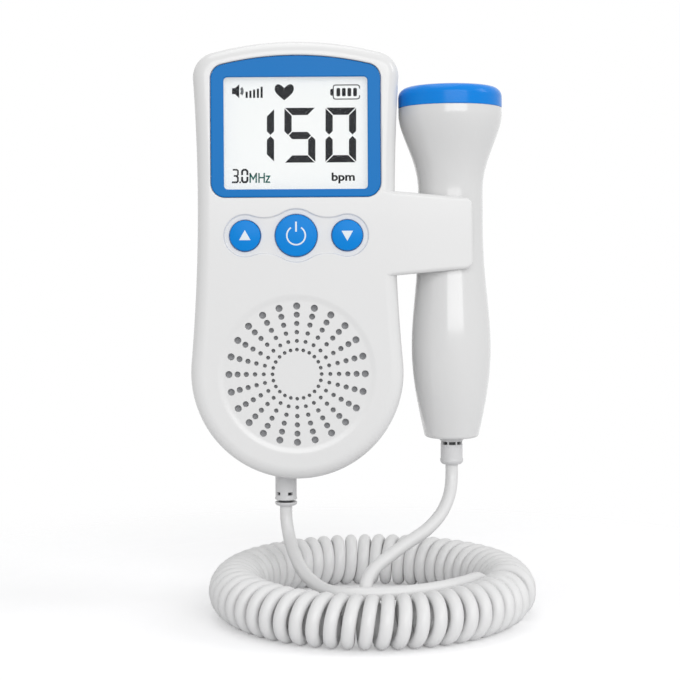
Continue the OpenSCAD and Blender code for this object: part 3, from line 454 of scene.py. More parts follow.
def corner_centre():
    """Where the circle inside the crown by the corner's radius meets the one outside the waist by it."""
    a, ra = np.array([0, CROWN_Z]), CROWN_R - CORNER_R
    b, rb = np.array([WAIST_X, WAIST_Z]), WAIST_R + CORNER_R
    d = np.linalg.norm(b - a)
    u = (b - a) / d
    s = (d * d + ra * ra - rb * rb) / (2 * d)
    return a + u * s + math.sqrt(ra * ra - s * s) * np.array([-u[1], u[0]])


CORNER = corner_centre()
WAIST_LOW = 180 + math.degrees(math.atan2(WAIST_RISE, WAIST_X))
WAIST_HIGH = 180 - math.degrees(math.atan2(CORNER[1] - WAIST_Z, WAIST_X - CORNER[0]))
CROWN_A = math.degrees(math.atan2(CORNER[0], CORNER[1] - CROWN_Z))


def unit_outline(g):
    """The main unit from the front, drawn in by g: waist, corner, crown, corner, waist, round end."""
    return np.concatenate([
        arc((WAIST_X, WAIST_Z), WAIST_R + g, WAIST_LOW, WAIST_HIGH, 30, False),
        arc(CORNER, CORNER_R - g, WAIST_HIGH - 180, 90 - CROWN_A, 16, False),
        arc((0, CROWN_Z), CROWN_R - g, 90 - CROWN_A, 90 + CROWN_A, 40, False),
        arc((-CORNER[0], CORNER[1]), CORNER_R - g, 90 + CROWN_A, 360 - WAIST_HIGH, 16, False),
        arc((-WAIST_X, WAIST_Z), WAIST_R + g, 180 - WAIST_HIGH, 180 - WAIST_LOW, 30, False),
        arc((0, BOTTOM_Z), BOTTOM_R - g, 360 - WAIST_LOW, 180 + WAIST_LOW, 104, False)])


def bezel_outline(g):
    """The display bezel drawn in by g: an arched top that follows the crown, and round corners."""
    r, top_r = BEZEL_R - g, CROWN_R - BEZEL_CROWN_GAP - g
    x, low = BEZEL_W / 2 - BEZEL_R, BEZEL_Z + BEZEL_R
    high = CROWN_Z + math.sqrt((CROWN_R - BEZEL_CROWN_GAP - BEZEL_R) ** 2 - x * x)
    a = math.degrees(math.atan2(x, high - CROWN_Z))
    return np.concatenate([
        arc((x, high), r, 0, 90 - a, 12), arc((0, CROWN_Z), top_r, 90 - a, 90 + a, 40)[1:-1],
        arc((-x, high), r, 90 + a, 180, 12), arc((-x, low), r, 180, 270, 12), arc((x, low), r, 270, 360, 12)])


def screen_outline(g, extra=0.0):
    """The screen's opening drawn in by g: a rectangle with round corners."""
    r = max(SCREEN_R - g, 0.2)
    x, z = SCREEN_W / 2 + extra - g - r, SCREEN_H / 2 + extra - g - r
    corners = [arc((sx * x, SCREEN_Z + sz * z), r, a, a + 90, 8)
               for sx, sz, a in ((1, 1, 0), (-1, 1, 90), (-1, -1, 180), (1, -1, 270))]
    return np.concatenate(corners)


def recess_outline(g):
    """Three round lobes joined by hollow fillets that touch the lobes in line, drawn in by g."""
    near, far = RECESS_POWER_R + RECESS_FILLET_R, RECESS_SIDE_R + RECESS_FILLET_R
    x = (near ** 2 - far ** 2 + PITCH ** 2) / (2 * PITCH)
    z = math.sqrt(near ** 2 - x * x)
    a, b = math.degrees(math.atan2(z, x)), math.degrees(math.atan2(z, x - PITCH))
    rp, rs, rf = RECESS_POWER_R - g, RECESS_SIDE_R - g, RECESS_FILLET_R + g
    top = np.concatenate([
        arc((PITCH, 0), rs, 0, b, 28, False), arc((x, z), rf, b + 180, a + 180, 14, False),
        arc((0, 0), rp, a, 180 - a, 20, False), arc((-x, z), rf, -a, -b, 14, False),
        arc((-PITCH, 0), rs, 180 - b, 180, 28, False)])
    whole = np.concatenate([top, -top])
    return whole + [0, BUTTON_Z]


def rounded(r, d, n):
    """Stations (inset, depth) over a quarter circle of radius r that ends at depth d."""
    return [(r * (1 - math.cos(t)), d - r * (1 - math.sin(t))) for t in quarter(n)]


def domed(r, edge, top, dome, n):
    """The closed end of a turned profile of radius r: a quarter circle of radius `edge` up to height
    `top`, then a crown that rises by `dome` times one less the square of the way out, in n steps."""
    u = np.linspace(1, 0, n + 1)[1:]
    crown = np.stack([(r - edge) * u, top + dome * (1 - u ** 2)], 1)
    return [(r - g, d) for g, d in rounded(edge, top, 8)] + crown.tolist()


# ---- cords ------------------------------------------------------------------------------------

def smooth_path(points, spacing):
    """Cubic pieces through the points, each with the slope of its neighbours weighted by distance,
    read off at an even spacing."""
    p = np.asarray(points, float)
    h = steps_of(p)
    secant = np.diff(p, axis=0) / h[:, None]
    slope = np.empty_like(p)
    slope[1:-1] = (secant[1:] * h[:-1, None] + secant[:-1] * h[1:, None]) / (h[1:] + h[:-1])[:, None]
    slope[0], slope[-1] = secant[0], secant[-1]
    t = np.concatenate([[0], np.cumsum(h)])
    at = np.linspace(0, t[-1], int(t[-1] / spacing) + 1)
    k = np.clip(np.searchsorted(t, at, side="right") - 1, 0, len(h) - 1)
    u = ((at - t[k]) / h[k])[:, None]
    hk = h[k][:, None]
    return ((2 * u ** 3 - 3 * u ** 2 + 1) * p[k] + (u ** 3 - 2 * u ** 2 + u) * hk * slope[k]
            + (3 * u ** 2 - 2 * u ** 3) * p[k + 1] + (u ** 3 - u ** 2) * hk * slope[k + 1])


def tube(path, lean, radius, sides):
    """A round tube: at each point of the path, a ring square to the path. `lean` gives a sideways
    direction for each ring, from which what lies along the path is taken out."""
    along = unit(np.gradient(path, axis=0))
    side = unit(lean - (lean * along).sum(1)[:, None] * along)
    up = np.cross(along, side)
    a = full_turn(sides)
    rings = (path[:, None] + radius * (side[:, None] * np.cos(a)[None, :, None]
                                       + up[:, None] * np.sin(a)[None, :, None]))
    return loft(rings)


HELIX_R = COIL_D / 2 - CABLE_D / 2
FRONT_LESS = 0.55   # how much less the helix's and the ring's radius are in front
LEAD_STEP = 1.42    # distance between the rings of the main unit's lead, about that of the coil's
TURN_STEPS = 28     # rings of the tube to one turn of the helix
# Degrees round the ring at the helix's two ends, its whole turns, the degrees of its last turn, and
# where it starts on its own small circle, with 0 outside and 90 on top.
COIL_START, COIL_END, COIL_TURNS, LAST_TURN, PHASE = -14.0, 340.0, 56, 40.0, 150.0


def coil_point(t):
    """The helix laid in a ring: t from 0 to 1 goes round the ring, and the cable turns round the
    ring's core circle. The turns get a little smaller towards the front, by the square of the sine,
    and lie on the floor."""
    ring = np.radians(COIL_START + (COIL_END - COIL_START) * t)
    small = np.radians(PHASE + 360 * (COIL_TURNS + LAST_TURN / 360) * t)
    less = FRONT_LESS * np.clip(-np.sin(ring), 0, None) ** 2
    reach = RING_R - less + (HELIX_R - less) * np.cos(small)
    return np.stack([COIL[0] + reach * np.cos(ring), COIL[1] + reach * np.sin(ring),
                     FLOOR_Z + CABLE_D / 2 + (HELIX_R - less) * (1 + np.sin(small))], -1)


def make_cords():
    """The cable in two pieces: the main unit's lead with the whole coil, and the probe's lead. Each
    lead starts inside its strain relief and runs on into the helix. Its skin is soft satin PVC."""
    finish = plastic("cable_pvc", (228, 228, 228), rough=0.38, grain=0.05, drift=0.12, tone=0.03,
                     dust=0.05, wear=0.0, grain_scale=1800.0)
    helix = coil_point(np.linspace(0.0, 1.0, COIL_TURNS * TURN_STEPS + 4))
    bend = np.concatenate([[[GLAND_X, -PARTING, -75.5]], MAIN_ROUTE, helix[1:8:2]])
    lead = smooth_path(bend, LEAD_STEP)[:int(steps_of(bend[:-3]).sum() / LEAD_STEP)]
    path = np.concatenate([lead, helix[2:]])
    hub = COIL + RING_R * unit((path - COIL) * [1, 1, 0])
    lean = (hub - path) / HELIX_R
    lean[:len(lead)] = lean[len(lead)]
    coil = piece("curly_cable", tube(path, lean, CABLE_D / 2, 12), "main_unit", finish, 60)
    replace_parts(coil, "lead_main", "curly_cord")

    end = helix[::-1][8:10]
    path = smooth_path(np.concatenate([[[PROBE_X, -PARTING, -62.5]], PROBE_ROUTE, end]), 1.5)
    lean = np.tile(np.array([0.0, 0.707, -0.707]), (len(path), 1))
    tail = piece("probe_lead", tube(path, lean, CABLE_D / 2 - 0.01, 16), None, finish, 60)
    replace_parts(tail, "lead_probe")
    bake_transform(tail)


make_cords()


# ---- stage ------------------------------------------------------------------------------------

def make_floor():
    """A round pale floor under the coil that fades out into the white background."""
    sides, radii = 96, (50.0, 200.0, 500.0, 1000.0, 1800.0)
    middle = np.array([20.0, -30.0, FLOOR_Z])
    a = full_turn(sides)
    circle = np.stack([np.cos(a), np.sin(a), np.zeros(sides)], 1)
    points = np.concatenate([circle * r for r in radii] + [np.zeros((1, 3))]) + middle
    k = np.arange(sides)
    core = np.stack([np.full(sides, len(radii) * sides), k, (k + 1) % sides], 1)
    floor = placed("floor", raw_mesh("floor", points, net(len(radii), sides) + core.tolist()))
    made, shader, n = material("floor")
    where = n.add("ShaderNodeMapping", Vector=n.place(), Location=tuple(-middle * MM))
    away = n.add("ShaderNodeVectorMath", operation="LENGTH", i0=where, out=1)
    paper = n.noise(where, 60.0, 3.0, 0.6)
    n.fill(shader, Base_Color=n.mix(paper, (238, 238, 239), (243, 243, 244)), Roughness=0.9,
           Specular_IOR_Level=0.0)
    seen = n.add("ShaderNodeLightPath", out="Is Camera Ray")
    glow = n.add("ShaderNodeEmission", Color=(1, 1, 1, 1), Strength=FLOOR_GLOW)
    lifted = n.add("ShaderNodeAddShader", i0=shader.outputs[0], i1=glow)
    shown = n.add("ShaderNodeMixShader", i0=seen, i1=shader.outputs[0], i2=lifted)
    fade = n.add("ShaderNodeMapRange", Value=away, From_Min=FADE_FROM, From_Max=FADE_TO,
                 interpolation_type="SMOOTHSTEP")
    whole = n.add("ShaderNodeMixShader", i0=fade, i1=shown, i2=n.add("ShaderNodeBsdfTransparent"))
    n.fill(n.tree.nodes["Material Output"], Surface=whole)
    floor.data.materials.append(made)


def make_world():
    """An even studio: a soft pale surround that lights, and plain white where it is seen."""
    world = bpy.data.worlds.new("studio")
    SCENE.world = world
    world.use_nodes = True
    world.node_tree.nodes.clear()
    n = Nodes(world.node_tree)
    rays = n.add("ShaderNodeLightPath").node.outputs
    mirrored = n.math("MAXIMUM", rays["Is Glossy Ray"], rays["Is Transmission Ray"])
    seen = n.math("MAXIMUM", rays["Is Camera Ray"], mirrored)
    soft, white = [n.add("ShaderNodeBackground", Color=(1.0, 1.0, 1.0, 1.0), Strength=strength)
                   for strength in (WORLD_LIGHT, 1.0)]
    both = n.add("ShaderNodeMixShader", i0=seen, i1=soft, i2=white)
    n.fill(n.tree.nodes.new("ShaderNodeOutputWorld"), Surface=both)


def softbox(name, at, look, size, watts):
    """A rectangular studio lamp at a point, facing another."""
    lamp = bpy.data.lights.new(name, "AREA")
    lamp.shape = "RECTANGLE"
    lamp.size, lamp.size_y = size
    lamp.energy = watts
    turn = (Vector(look) - Vector(at)).to_track_quat("-Z", "Y").to_matrix().to_4x4()
    placed(name, lamp).matrix_world = Matrix.Translation(Vector(at)) @ turn


# Light that the floor adds where the camera sees it, the strength of the surround, and the distances
# in metres from the floor's middle between which it fades out.
FLOOR_GLOW, WORLD_LIGHT, FADE_FROM, FADE_TO = 0.29, 0.47, 0.10, 0.24
make_floor()
make_world()
softbox("front", (0.28, -1.45, 0.5), (0.0, 0, 0.0), (1.4, 0.9), 11.6)
softbox("side", (1.0, -0.2, 0.6), (0.02, 0, -0.05), (0.35, 0.5), 1.9)
softbox("top", (-0.1, 0.05, 1.1), (0.0, 0, 0), (0.9, 0.6), 2.4)


# ---- finishes ---------------------------------------------------------------------------------

SHELL = plastic("shell_plastic", (231, 231, 231), rough=0.26, grain=0.015, drift=0.04, tone=0.012,
                dust=0.06, wear=0.0, coat=0.2)
PROBE_WHITE = plastic("probe_plastic", (224, 224, 224), rough=0.2, grain=0.008, drift=0.06, tone=0.012,
                      dust=0.05, wear=0.05, coat=0.6)
BLUE = plastic("bezel_blue", (10, 119, 196), rough=0.36, grain=0.03, tone=0.03, dust=0.02, wear=0.0,
               specular=0.18)
BUTTON_BLUE = plastic("button_blue", (4, 135, 223), rough=0.32, grain=0.04, drift=0.12, tone=0.03,
                      dust=0.02, wear=0.2, specular=0.14)
CAP_BLUE = plastic("cap_blue", (0, 133, 228), rough=0.22, grain=0.02, drift=0.08, tone=0.03, dust=0.02,
                   wear=0.2, specular=0.2)
# The reliefs' darker colour is painted shade in their slots and groove.
GLAND_WHITE = plastic("gland_rubber", (216, 216, 217), rough=0.42, grain=0.08, tone=0.03, dust=0.06,
                      grain_scale=1600.0, core=(70, 71, 73))
MARK_WHITE = plastic("print_white", (230, 238, 245), rough=0.45, grain=0.05, tone=0.01, dust=0.0,
                     wear=0.0)


# ---- front shell ------------------------------------------------------------------------------

def probe_radius(z):
    """Radius of the probe at height z: down from the flare to the neck and out to the grip by half a
    cosine of a power of the way, then in to the tail by a quarter of a cosine."""
    z = np.asarray(z, float)
    way = lambda top, low: np.clip((top - z) / (top - low), 0, 1)
    ease = lambda u: (1 - np.cos(np.pi * u)) / 2
    flare = HEAD_R + (NECK_R - HEAD_R) * ease(way(FLARE_Z, NECK_TOP) ** 0.85)
    grip = NECK_R + (GRIP_R - NECK_R) * ease(way(NECK_LOW, GRIP_Z) ** 1.2)
    tail = GRIP_R - (GRIP_R - TAIL_R) * (1 - np.cos(np.pi / 2 * way(GRIP_Z, TAIL_Z)))
    return np.where(z >= NECK_TOP, flare, np.where(z >= GRIP_Z, grip, tail))


SEAT_R = max(NECK_R, float(probe_radius(CLIP_Z - CLIP_ROOT_H / 2))) + CLIP_GAP


def jaw(out):
    """One jaw of the clip as sections across its reach. At each x the section is a rectangle with
    round corners: its half height tapers and rounds off at the tip, its outer side follows a wide
    sweep, and its inner side is hollowed to the neck's radius. `out` is its depth at the root."""
    root_x, face_x, tip_x = HALF_WAIST - WALL / 2, HALF_WAIST - FRONT_EDGE_R, PROBE_X + CLIP_REACH
    seat_x = PROBE_X - SEAT_R
    mid = tip_x - CLIP_CORNER_R
    half_chord = lambda r, off: np.sqrt(np.clip(r ** 2 - off ** 2, 0, None))
    x = np.concatenate([np.linspace(face_x + 0.02, root_x, 6), np.linspace(root_x + 0.02, seat_x, 9)[:-1],
                        seat_x + SEAT_R * (1 - np.cos(quarter(25)))[:-1],
                        np.linspace(PROBE_X, mid, 8)[:-1], tip_x - CLIP_CORNER_R * (1 - np.sin(quarter(12)))])
    slope = math.atan2((CLIP_ROOT_H - CLIP_TIP_H) / 2, tip_x - face_x)
    low = CLIP_TIP_H / 2 + CLIP_CORNER_R * math.tan(slope) - CLIP_CORNER_R / math.cos(slope)
    round_h = low + half_chord(CLIP_CORNER_R, x - mid)
    straight = CLIP_ROOT_H / 2 - (x - face_x) * math.tan(slope)
    half = np.where(x > mid + CLIP_CORNER_R * math.sin(slope), round_h, straight)
    run, draw = tip_x - root_x, out - SEAT_R - CLIP_TIP_T
    sweep = (run ** 2 + draw ** 2) / (2 * draw)
    front = out - sweep + half_chord(sweep, np.maximum(x - root_x, 0))
    hollow = np.where(x < seat_x, 0.0, half_chord(SEAT_R, np.maximum(PROBE_X - x, 0)))
    back = np.where(x < root_x + 0.01, out - WALL + 0.1, hollow)
    tip_r, outer_r, inner_r = 0.75, 1.3, 0.3
    turn = tip_r - half_chord(tip_r, np.maximum(x - (tip_x - tip_r), 0))
    front, back = front - turn, back + turn * 0.9
    thick = front - back
    r_out, r_in = np.minimum(outer_r, thick * 0.45), np.minimum(inner_r, thick * 0.3)
    a = quarter(5)
    rings = []
    for sz, sv, r, swap in ((1, 1, r_out, True), (1, -1, r_in, False), (-1, -1, r_in, True),
                            (-1, 1, r_out, False)):
        c, s = (np.sin(a), np.cos(a)) if swap else (np.cos(a), np.sin(a))
        z = CLIP_Z + sz * (half[:, None] - r[:, None] * (1 - c))
        v = (front if sv > 0 else back)[:, None] - sv * r[:, None] * (1 - s)
        rings.append(np.stack([np.repeat(x[:, None], len(a), 1), -(PARTING + v), z], -1))
    return loft(np.concatenate(rings, 1))


def bore(r, floor, slope, flare, steps, x, z):
    """A cutter for a round hole in the front, which widens by `flare` over the last `slope` below the
    floor that it opens in."""
    low, high = FRONT_INNER - CUT, BODY_D + CUT
    return turned([(0, low), (r, low), (r, floor - slope), (r + flare, floor), (r + flare, high),
                   (0, high)], steps, "y", (x, 0, z))


def grille_cutters():
    """The grille's holes: one on each spoke in each ring, larger outwards by the power 1.6."""
    parts = []
    for i in range(RINGS):
        r = (HOLE_SMALL + (HOLE_LARGE - HOLE_SMALL) * (i / (RINGS - 1)) ** 1.6) / 2
        reach = RING_FIRST + RING_STEP * i
        for a in full_turn(SPOKES):
            parts.append(bore(r, BODY_D - DISH_DEPTH, 0.14, 0.12, 20, reach * math.cos(a),
                              GRILLE_Z + reach * math.sin(a)))
    return parts


def dish_profile():
    """The dish round the grille: flat, then half a cosine up to the face."""
    floor = BODY_D - DISH_DEPTH
    u = np.linspace(0, 1, 9)
    r = DISH_R + DISH_SLOPE * (1.6 * u - 1)
    rim = np.stack([r, BODY_D - DISH_DEPTH * (1 + np.cos(np.pi * u)) / 2], 1)
    return [(0, floor), *rim.tolist(), (r[-1], BODY_D + CUT), (0, BODY_D + CUT)]


def make_front_shell():
    """The front shell: the unit's form with a round front edge, joined to the front jaw, hollowed,
    then cut for the bezel, the recess, the dish, the screen, the buttons, the grille, the jack and
    the strain relief."""
    chamfer, rim = 0.18, 0.4
    outer = pressed(unit_outline, [
        (chamfer, PARTING), (0.0, PARTING + chamfer), *rounded(FRONT_EDGE_R, BODY_D, 12),
        (FRONT_EDGE_R + rim, BODY_D)])
    shell = cut_from(outer, jaw(BODY_D - PARTING), operation="UNION")
    hollow = pressed(lambda g: unit_outline(WALL + g), [
        (0.0, PARTING - CUT), *rounded(FRONT_EDGE_R - WALL, FRONT_INNER, 4)])
    pocket = pressed(lambda g: bezel_outline(-SLIP - g), [
        (0.0, BEZEL_FLOOR), (0.0, BODY_D - 0.3), (0.09, BODY_D - 0.09), (0.3, BODY_D), (0.3, BODY_D + CUT)])
    floor = BODY_D - RECESS_DEPTH
    recess = pressed(recess_outline, [
        (0.45, floor), (0.2, floor + 0.08), (0.08, floor + 0.2), (0.0, floor + 0.35),
        (-0.06, BODY_D - 0.12), (-0.3, BODY_D), (-0.3, BODY_D + CUT)])
    dish = turned(dish_profile(), 144, "y", (0, 0, GRILLE_Z))
    window = pressed(lambda g: screen_outline(g, LCD_MARGIN + SLIP), [
        (0, FRONT_INNER - CUT), (0, BEZEL_FLOOR + 0.2)])
    bores = [bore(r + SLIP, floor, 0.2, 0.2, 96, x, BUTTON_Z) for _, x, r in BUTTONS]
    lead_in, r = 3.1, 2.6
    jack = turned([(0, -36), (lead_in, -36), (lead_in, -30.95), (r, -30.6), (r, -27), (0, -27)], 48)
    jack = (jack[0][:, [2, 0, 1]] + [0, -JACK_D, JACK_Z], jack[1])
    gland = turned([(0, -70), (LEAD_BORE_R, -70), (LEAD_BORE_R, -63), (0, -63)], 48, "z",
                   (GLAND_X, -PARTING, 0))
    mesh = cut_from(shell, hollow, joined(pocket, recess, dish),
                    joined(window, *bores, *grille_cutters(), jack, gland))
    stand_in("front_case", mesh, "main_unit", "front_shell", SHELL)


make_front_shell()


# ---- rear shell and battery door --------------------------------------------------------------

def smoothed(name, node, body, finish):
    """A copy of a CAD node with its loose corners merged, so that its rounded faces shade in one."""
    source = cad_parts[node].data
    source.calc_loop_triangles()
    tri = read(source.loop_triangles, "vertices", 3, np.int64)
    snapped = np.round(read(source.vertices, "co", 3) * 1e7).astype(np.int64)
    keys, where = np.unique(snapped, axis=0, return_inverse=True)
    tri = where.reshape(-1)[tri]
    keep = (tri[:, 0] != tri[:, 1]) & (tri[:, 1] != tri[:, 2]) & (tri[:, 0] != tri[:, 2])
    stand_in(name, (keys * 1e-7 / MM, tri[keep].tolist()), body, node, finish)


smoothed("rear_case", "rear_shell", "main_unit", SHELL)
smoothed("battery_cover", "battery_door", "battery_door", SHELL)


# ---- display ----------------------------------------------------------------------------------

def make_bezel():
    """The blue bezel: its arched outline with a small round edge, cut for the screen with a bevel."""
    top = BEZEL_FRONT
    plate = pressed(bezel_outline, [(0.0, BEZEL_FLOOR), (0.0, top - 0.35), (0.04, top - 0.18),
                                    (0.14, top - 0.06), (0.32, top), (0.6, top)])
    hole = pressed(screen_outline, [(0, BEZEL_FLOOR - CUT), (0, top - 0.3), (-0.25, top),
                                    (-0.25, top + CUT)])
    stand_in("bezel", cut_from(plate, hole), "main_unit", "display_bezel", BLUE)


def pixel_size(depth):
    """Millimetres of the part at a given depth to one pixel of the photo."""
    return (EYE_DEPTH - depth) / FOCAL


def px(x, y):
    """A point of the glass, as x and z, from its place in the picture's pixels."""
    level = x + (MIDDLE - y) * ROLL
    s = pixel_size(LCD_FRONT)
    return [EYE_X + (level - MIDDLE) * s, EYE_Z + (EYE_ROW - y) * s]


MARK_LOW, MARK_THICK = LCD_FRONT + 0.01, 0.04   # the marks' back face and thickness on the glass


def lcd_marks(name, shapes, finish):
    """Marks on the glass as one piece: flat shapes of x and z made solid between two depths."""
    solids = [loft([np.insert(shape, 1, -d, axis=1) for d in (MARK_LOW, MARK_LOW + MARK_THICK)])
              for shape in shapes]
    piece(name, joined(*solids), "main_unit", finish)


def pixel_shape(corners):
    """A shape of the glass from the pixels of its corners."""
    return [px(x, y) for x, y in corners]


def digit(x0, x1, y0, y1, mid, lit):
    """A seven-segment figure: bars with mitred ends and a small gap. `lit` names the bars that show."""
    t, g = 7.2, 0.7
    h, u, v, over, under = t / 2, x0 + t, x1 - t, mid - t / 2 - g, mid + t / 2 + g
    bars = {
        "a": [(x0 + g, y0), (x1 - g, y0), (v - g, y0 + t), (u + g, y0 + t)],
        "b": [(x1, y0 + g), (x1, over), (x1 - h, mid - g), (v, over), (v, y0 + t + g)],
        "c": [(x1, under), (x1, y1 - g), (v, y1 - t - g), (v, under), (x1 - h, mid + g)],
        "d": [(x0 + g, y1), (u + g, y1 - t), (v - g, y1 - t), (x1 - g, y1)],
        "e": [(x0, under), (x0 + h, mid + g), (u, under), (u, y1 - t - g), (x0, y1 - g)],
        "f": [(x0, y0 + g), (u, y0 + t + g), (u, over), (x0 + h, mid - g), (x0, over)],
        "g": [(x0 + h + g, mid), (u + g, mid - h), (v - g, mid - h), (x1 - h - g, mid),
              (v - g, mid + h), (u + g, mid + h)]}
    return [pixel_shape(bars[b]) for b in lit]


def heart(cx, top, bottom, w):
    """A heart: x goes as a power of the sine and y as a sum of four cosines, fitted to its box."""
    t = np.linspace(0, 2 * np.pi, 49)[:-1]
    x = np.sign(np.sin(t)) * np.abs(np.sin(t)) ** 1.9
    y = (13 * np.cos(t) - 5 * np.cos(2 * t) - 2 * np.cos(3 * t) - np.cos(4 * t)) / 17
    y = (y - y.min()) / (y.max() - y.min())
    return pixel_shape(list(zip(cx + x * w / 2, bottom - y * (bottom - top))))


def stroke(corners, width):
    """A line of a given width through points: each side lies half a width off, mitred at the bends."""
    p = np.asarray(corners, float)
    along = unit(np.diff(p, axis=0))
    square = np.stack([-along[:, 1], along[:, 0]], 1)
    both = np.concatenate([square[:1], square[:-1] + square[1:], square[-1:]])
    both /= (both * np.concatenate([square[:1], square[1:], square[-1:]])).sum(1)[:, None]
    return pixel_shape(np.concatenate([p + both * width / 2, (p - both * width / 2)[::-1]]).tolist())


def lettering(name, words, x0, x1, y0, y1, finish):
    """Plain generic lettering, made a mesh and fitted to its box on the glass."""
    curve = bpy.data.curves.new(name, "FONT")
    curve.body, curve.extrude, curve.offset = words, 0.02, 0.03
    mesh = outcome(placed(name, curve))
    co = read(mesh.vertices, "co", 3)
    u = (co - co.min(0)) / (co.max(0) - co.min(0))
    (xa, za), (xb, zb) = px(x0, y1), px(x1, y0)
    fitted = np.stack([xa + (xb - xa) * u[:, 0], -(MARK_LOW + MARK_THICK * u[:, 2]),
                       za + (zb - za) * u[:, 1]], 1)
    mesh.vertices.foreach_set("co", (fitted * MM).ravel())
    mesh.update()
    piece(name, mesh, "main_unit", finish)


def lcd_ink(n, where, rgb):
    """A darkened segment of liquid crystal: flat ink with the faint mesh of the glass over it."""
    weave = n.noise(where, 2600.0, 2.0, 0.6)
    return dict(Base_Color=n.mix(weave, rgb, [c + 12 for c in rgb]), Specular_IOR_Level=0.1,
                Roughness=n.span(weave, 0.3, 0.7, 0.46, 0.54), Normal=n.bump(weave, 0.03))


def make_display():
    """The display's marks, each measured in the photo's pixels."""
    dark, teal, grey = [dressed(f"segment_{name}", lcd_ink, rgb) for name, rgb in (
        ("dark", (34, 35, 38)), ("teal", (4, 98, 88)), ("grey", (112, 116, 118)))]
    speaker = [(231.8, 87.8), (234.8, 87.8), (239, 84), (239, 97.8), (234.8, 93.8), (231.8, 93.8)]
    signal = [[(x, top), (x + 2.1, top), (x + 2.1, 97.6), (x, 97.6)] for x, top in (
        (245.4, 91.4), (249.1, 90.5), (252.8, 89.4), (256.6, 88.5), (260.3, 86.6))]
    battery = [(359.0, 88.9), (359.0, 86.9), (358.2, 85.8), (356.8, 85.3), (334.8, 85.3), (333.4, 85.8),
               (332.8, 87.0), (332.8, 97.6), (333.4, 98.8), (334.8, 99.3), (356.8, 99.3), (358.2, 98.8),
               (359.0, 97.7), (359.0, 95.7)]
    c = 0.9
    charge = [[(x + c, y0), (x + w - c, y0), (x + w, y0 + c), (x + w, y1 - c), (x + w - c, y1), (x + c, y1),
               (x, y1 - c), (x, y0 + c)] for x, w, y0, y1 in (
        (329.8, 3.2, 89.2, 95.8), (336.0, 3.7, 88.3, 96.6), (341.5, 3.7, 88.3, 96.6),
        (347.0, 3.7, 88.3, 96.6), (352.7, 3.7, 88.3, 96.6))]
    three = [stroke([(232.6, 169.2), (236.6, 169.2), (237.8, 170.4), (237.8, 174.0), (236.9, 175.3),
                     (233.6, 175.3)], 1.6),
             stroke([(236.4, 175.5), (237.7, 176.8), (237.7, 180.6), (236.7, 181.7), (231.8, 181.7)], 1.8)]
    point = pixel_shape([(239.2, 180.9), (240.7, 180.9), (240.7, 182.6), (239.2, 182.6)])
    nought = [stroke([(241.9, near), (241.9, bend), (243.3, far), (245.9, far), (247.2, bend),
                      (247.2, near)], 2.0)
              for near, bend, far in ((174.6, 170.8, 169.3), (176.2, 180.1, 181.6))]
    lcd_marks("lcd_segments", [
        *digit(243.0, 273.8, 108.4, 161.8, 135.3, "bc"), *digit(284.1, 315.0, 107.8, 162.4, 135.4, "afgcd"),
        *digit(325.1, 355.7, 107.8, 162.4, 135.4, "abcdef"), heart(283.9, 84.2, 100.2, 19.2),
        *map(pixel_shape, [speaker, *signal]), stroke(battery, 1.0), *map(pixel_shape, charge), *three,
        point, *nought], dark)
    a = np.radians(np.linspace(-40, 40, 9))
    outer, inner = [list(zip(x + r * np.cos(a), 90.9 + (r + 0.4) * np.sin(a)))
                    for x, r in ((237.2, 6.2), (237.4, 3.2))]
    lcd_marks("lcd_wave", [pixel_shape(outer + inner[::-1])], grey)
    left_m, right_m, left_h, right_h = [stroke([(x, 182.3), (x, 172.6)], 1.4)
                                        for x in (250.0, 256.0, 258.8, 264.0)]
    middle_m = stroke([(249.6, 172.6), (253.0, 178.6), (256.4, 172.6)], 1.4)
    bar_h = stroke([(258.8, 177.2), (264.0, 177.2)], 1.3)
    z = stroke([(265.4, 175.8), (269.3, 175.8), (265.9, 181.7), (270.0, 181.7)], 1.4)
    lcd_marks("lcd_unit", [left_m, right_m, middle_m, left_h, right_h, bar_h, z], teal)
    lettering("lcd_rate", "bpm", 331.3, 354.4, 172.6, 183.4, dark)


make_bezel()
make_display()


# ---- buttons ----------------------------------------------------------------------------------

FOOT, FLANGE_LOW, FLANGE_TOP = 27.12, 29.0, 29.7   # depths of a button's stem and flange
STEM_R, FLANGE_W, EDGE_R, DOME = 2.0, 1.2, 0.5, 0.35
MARKS_AT = 32.9   # depth at which the buttons' marks are measured in the photo
PRINT_OVER, PRINT_UNDER = 0.035, -0.05   # the printed marks' two faces from the dome


def button_profile(r):
    """The cap's profile: stem, flange, side, round edge and a shallow dome."""
    return [(0, FOOT), (STEM_R, FOOT), (STEM_R, FLANGE_LOW), (r + FLANGE_W, FLANGE_LOW),
            (r + FLANGE_W, FLANGE_TOP), (r, FLANGE_TOP), *domed(r, EDGE_R, BODY_D + BUTTON_PROUD, DOME, 11)]


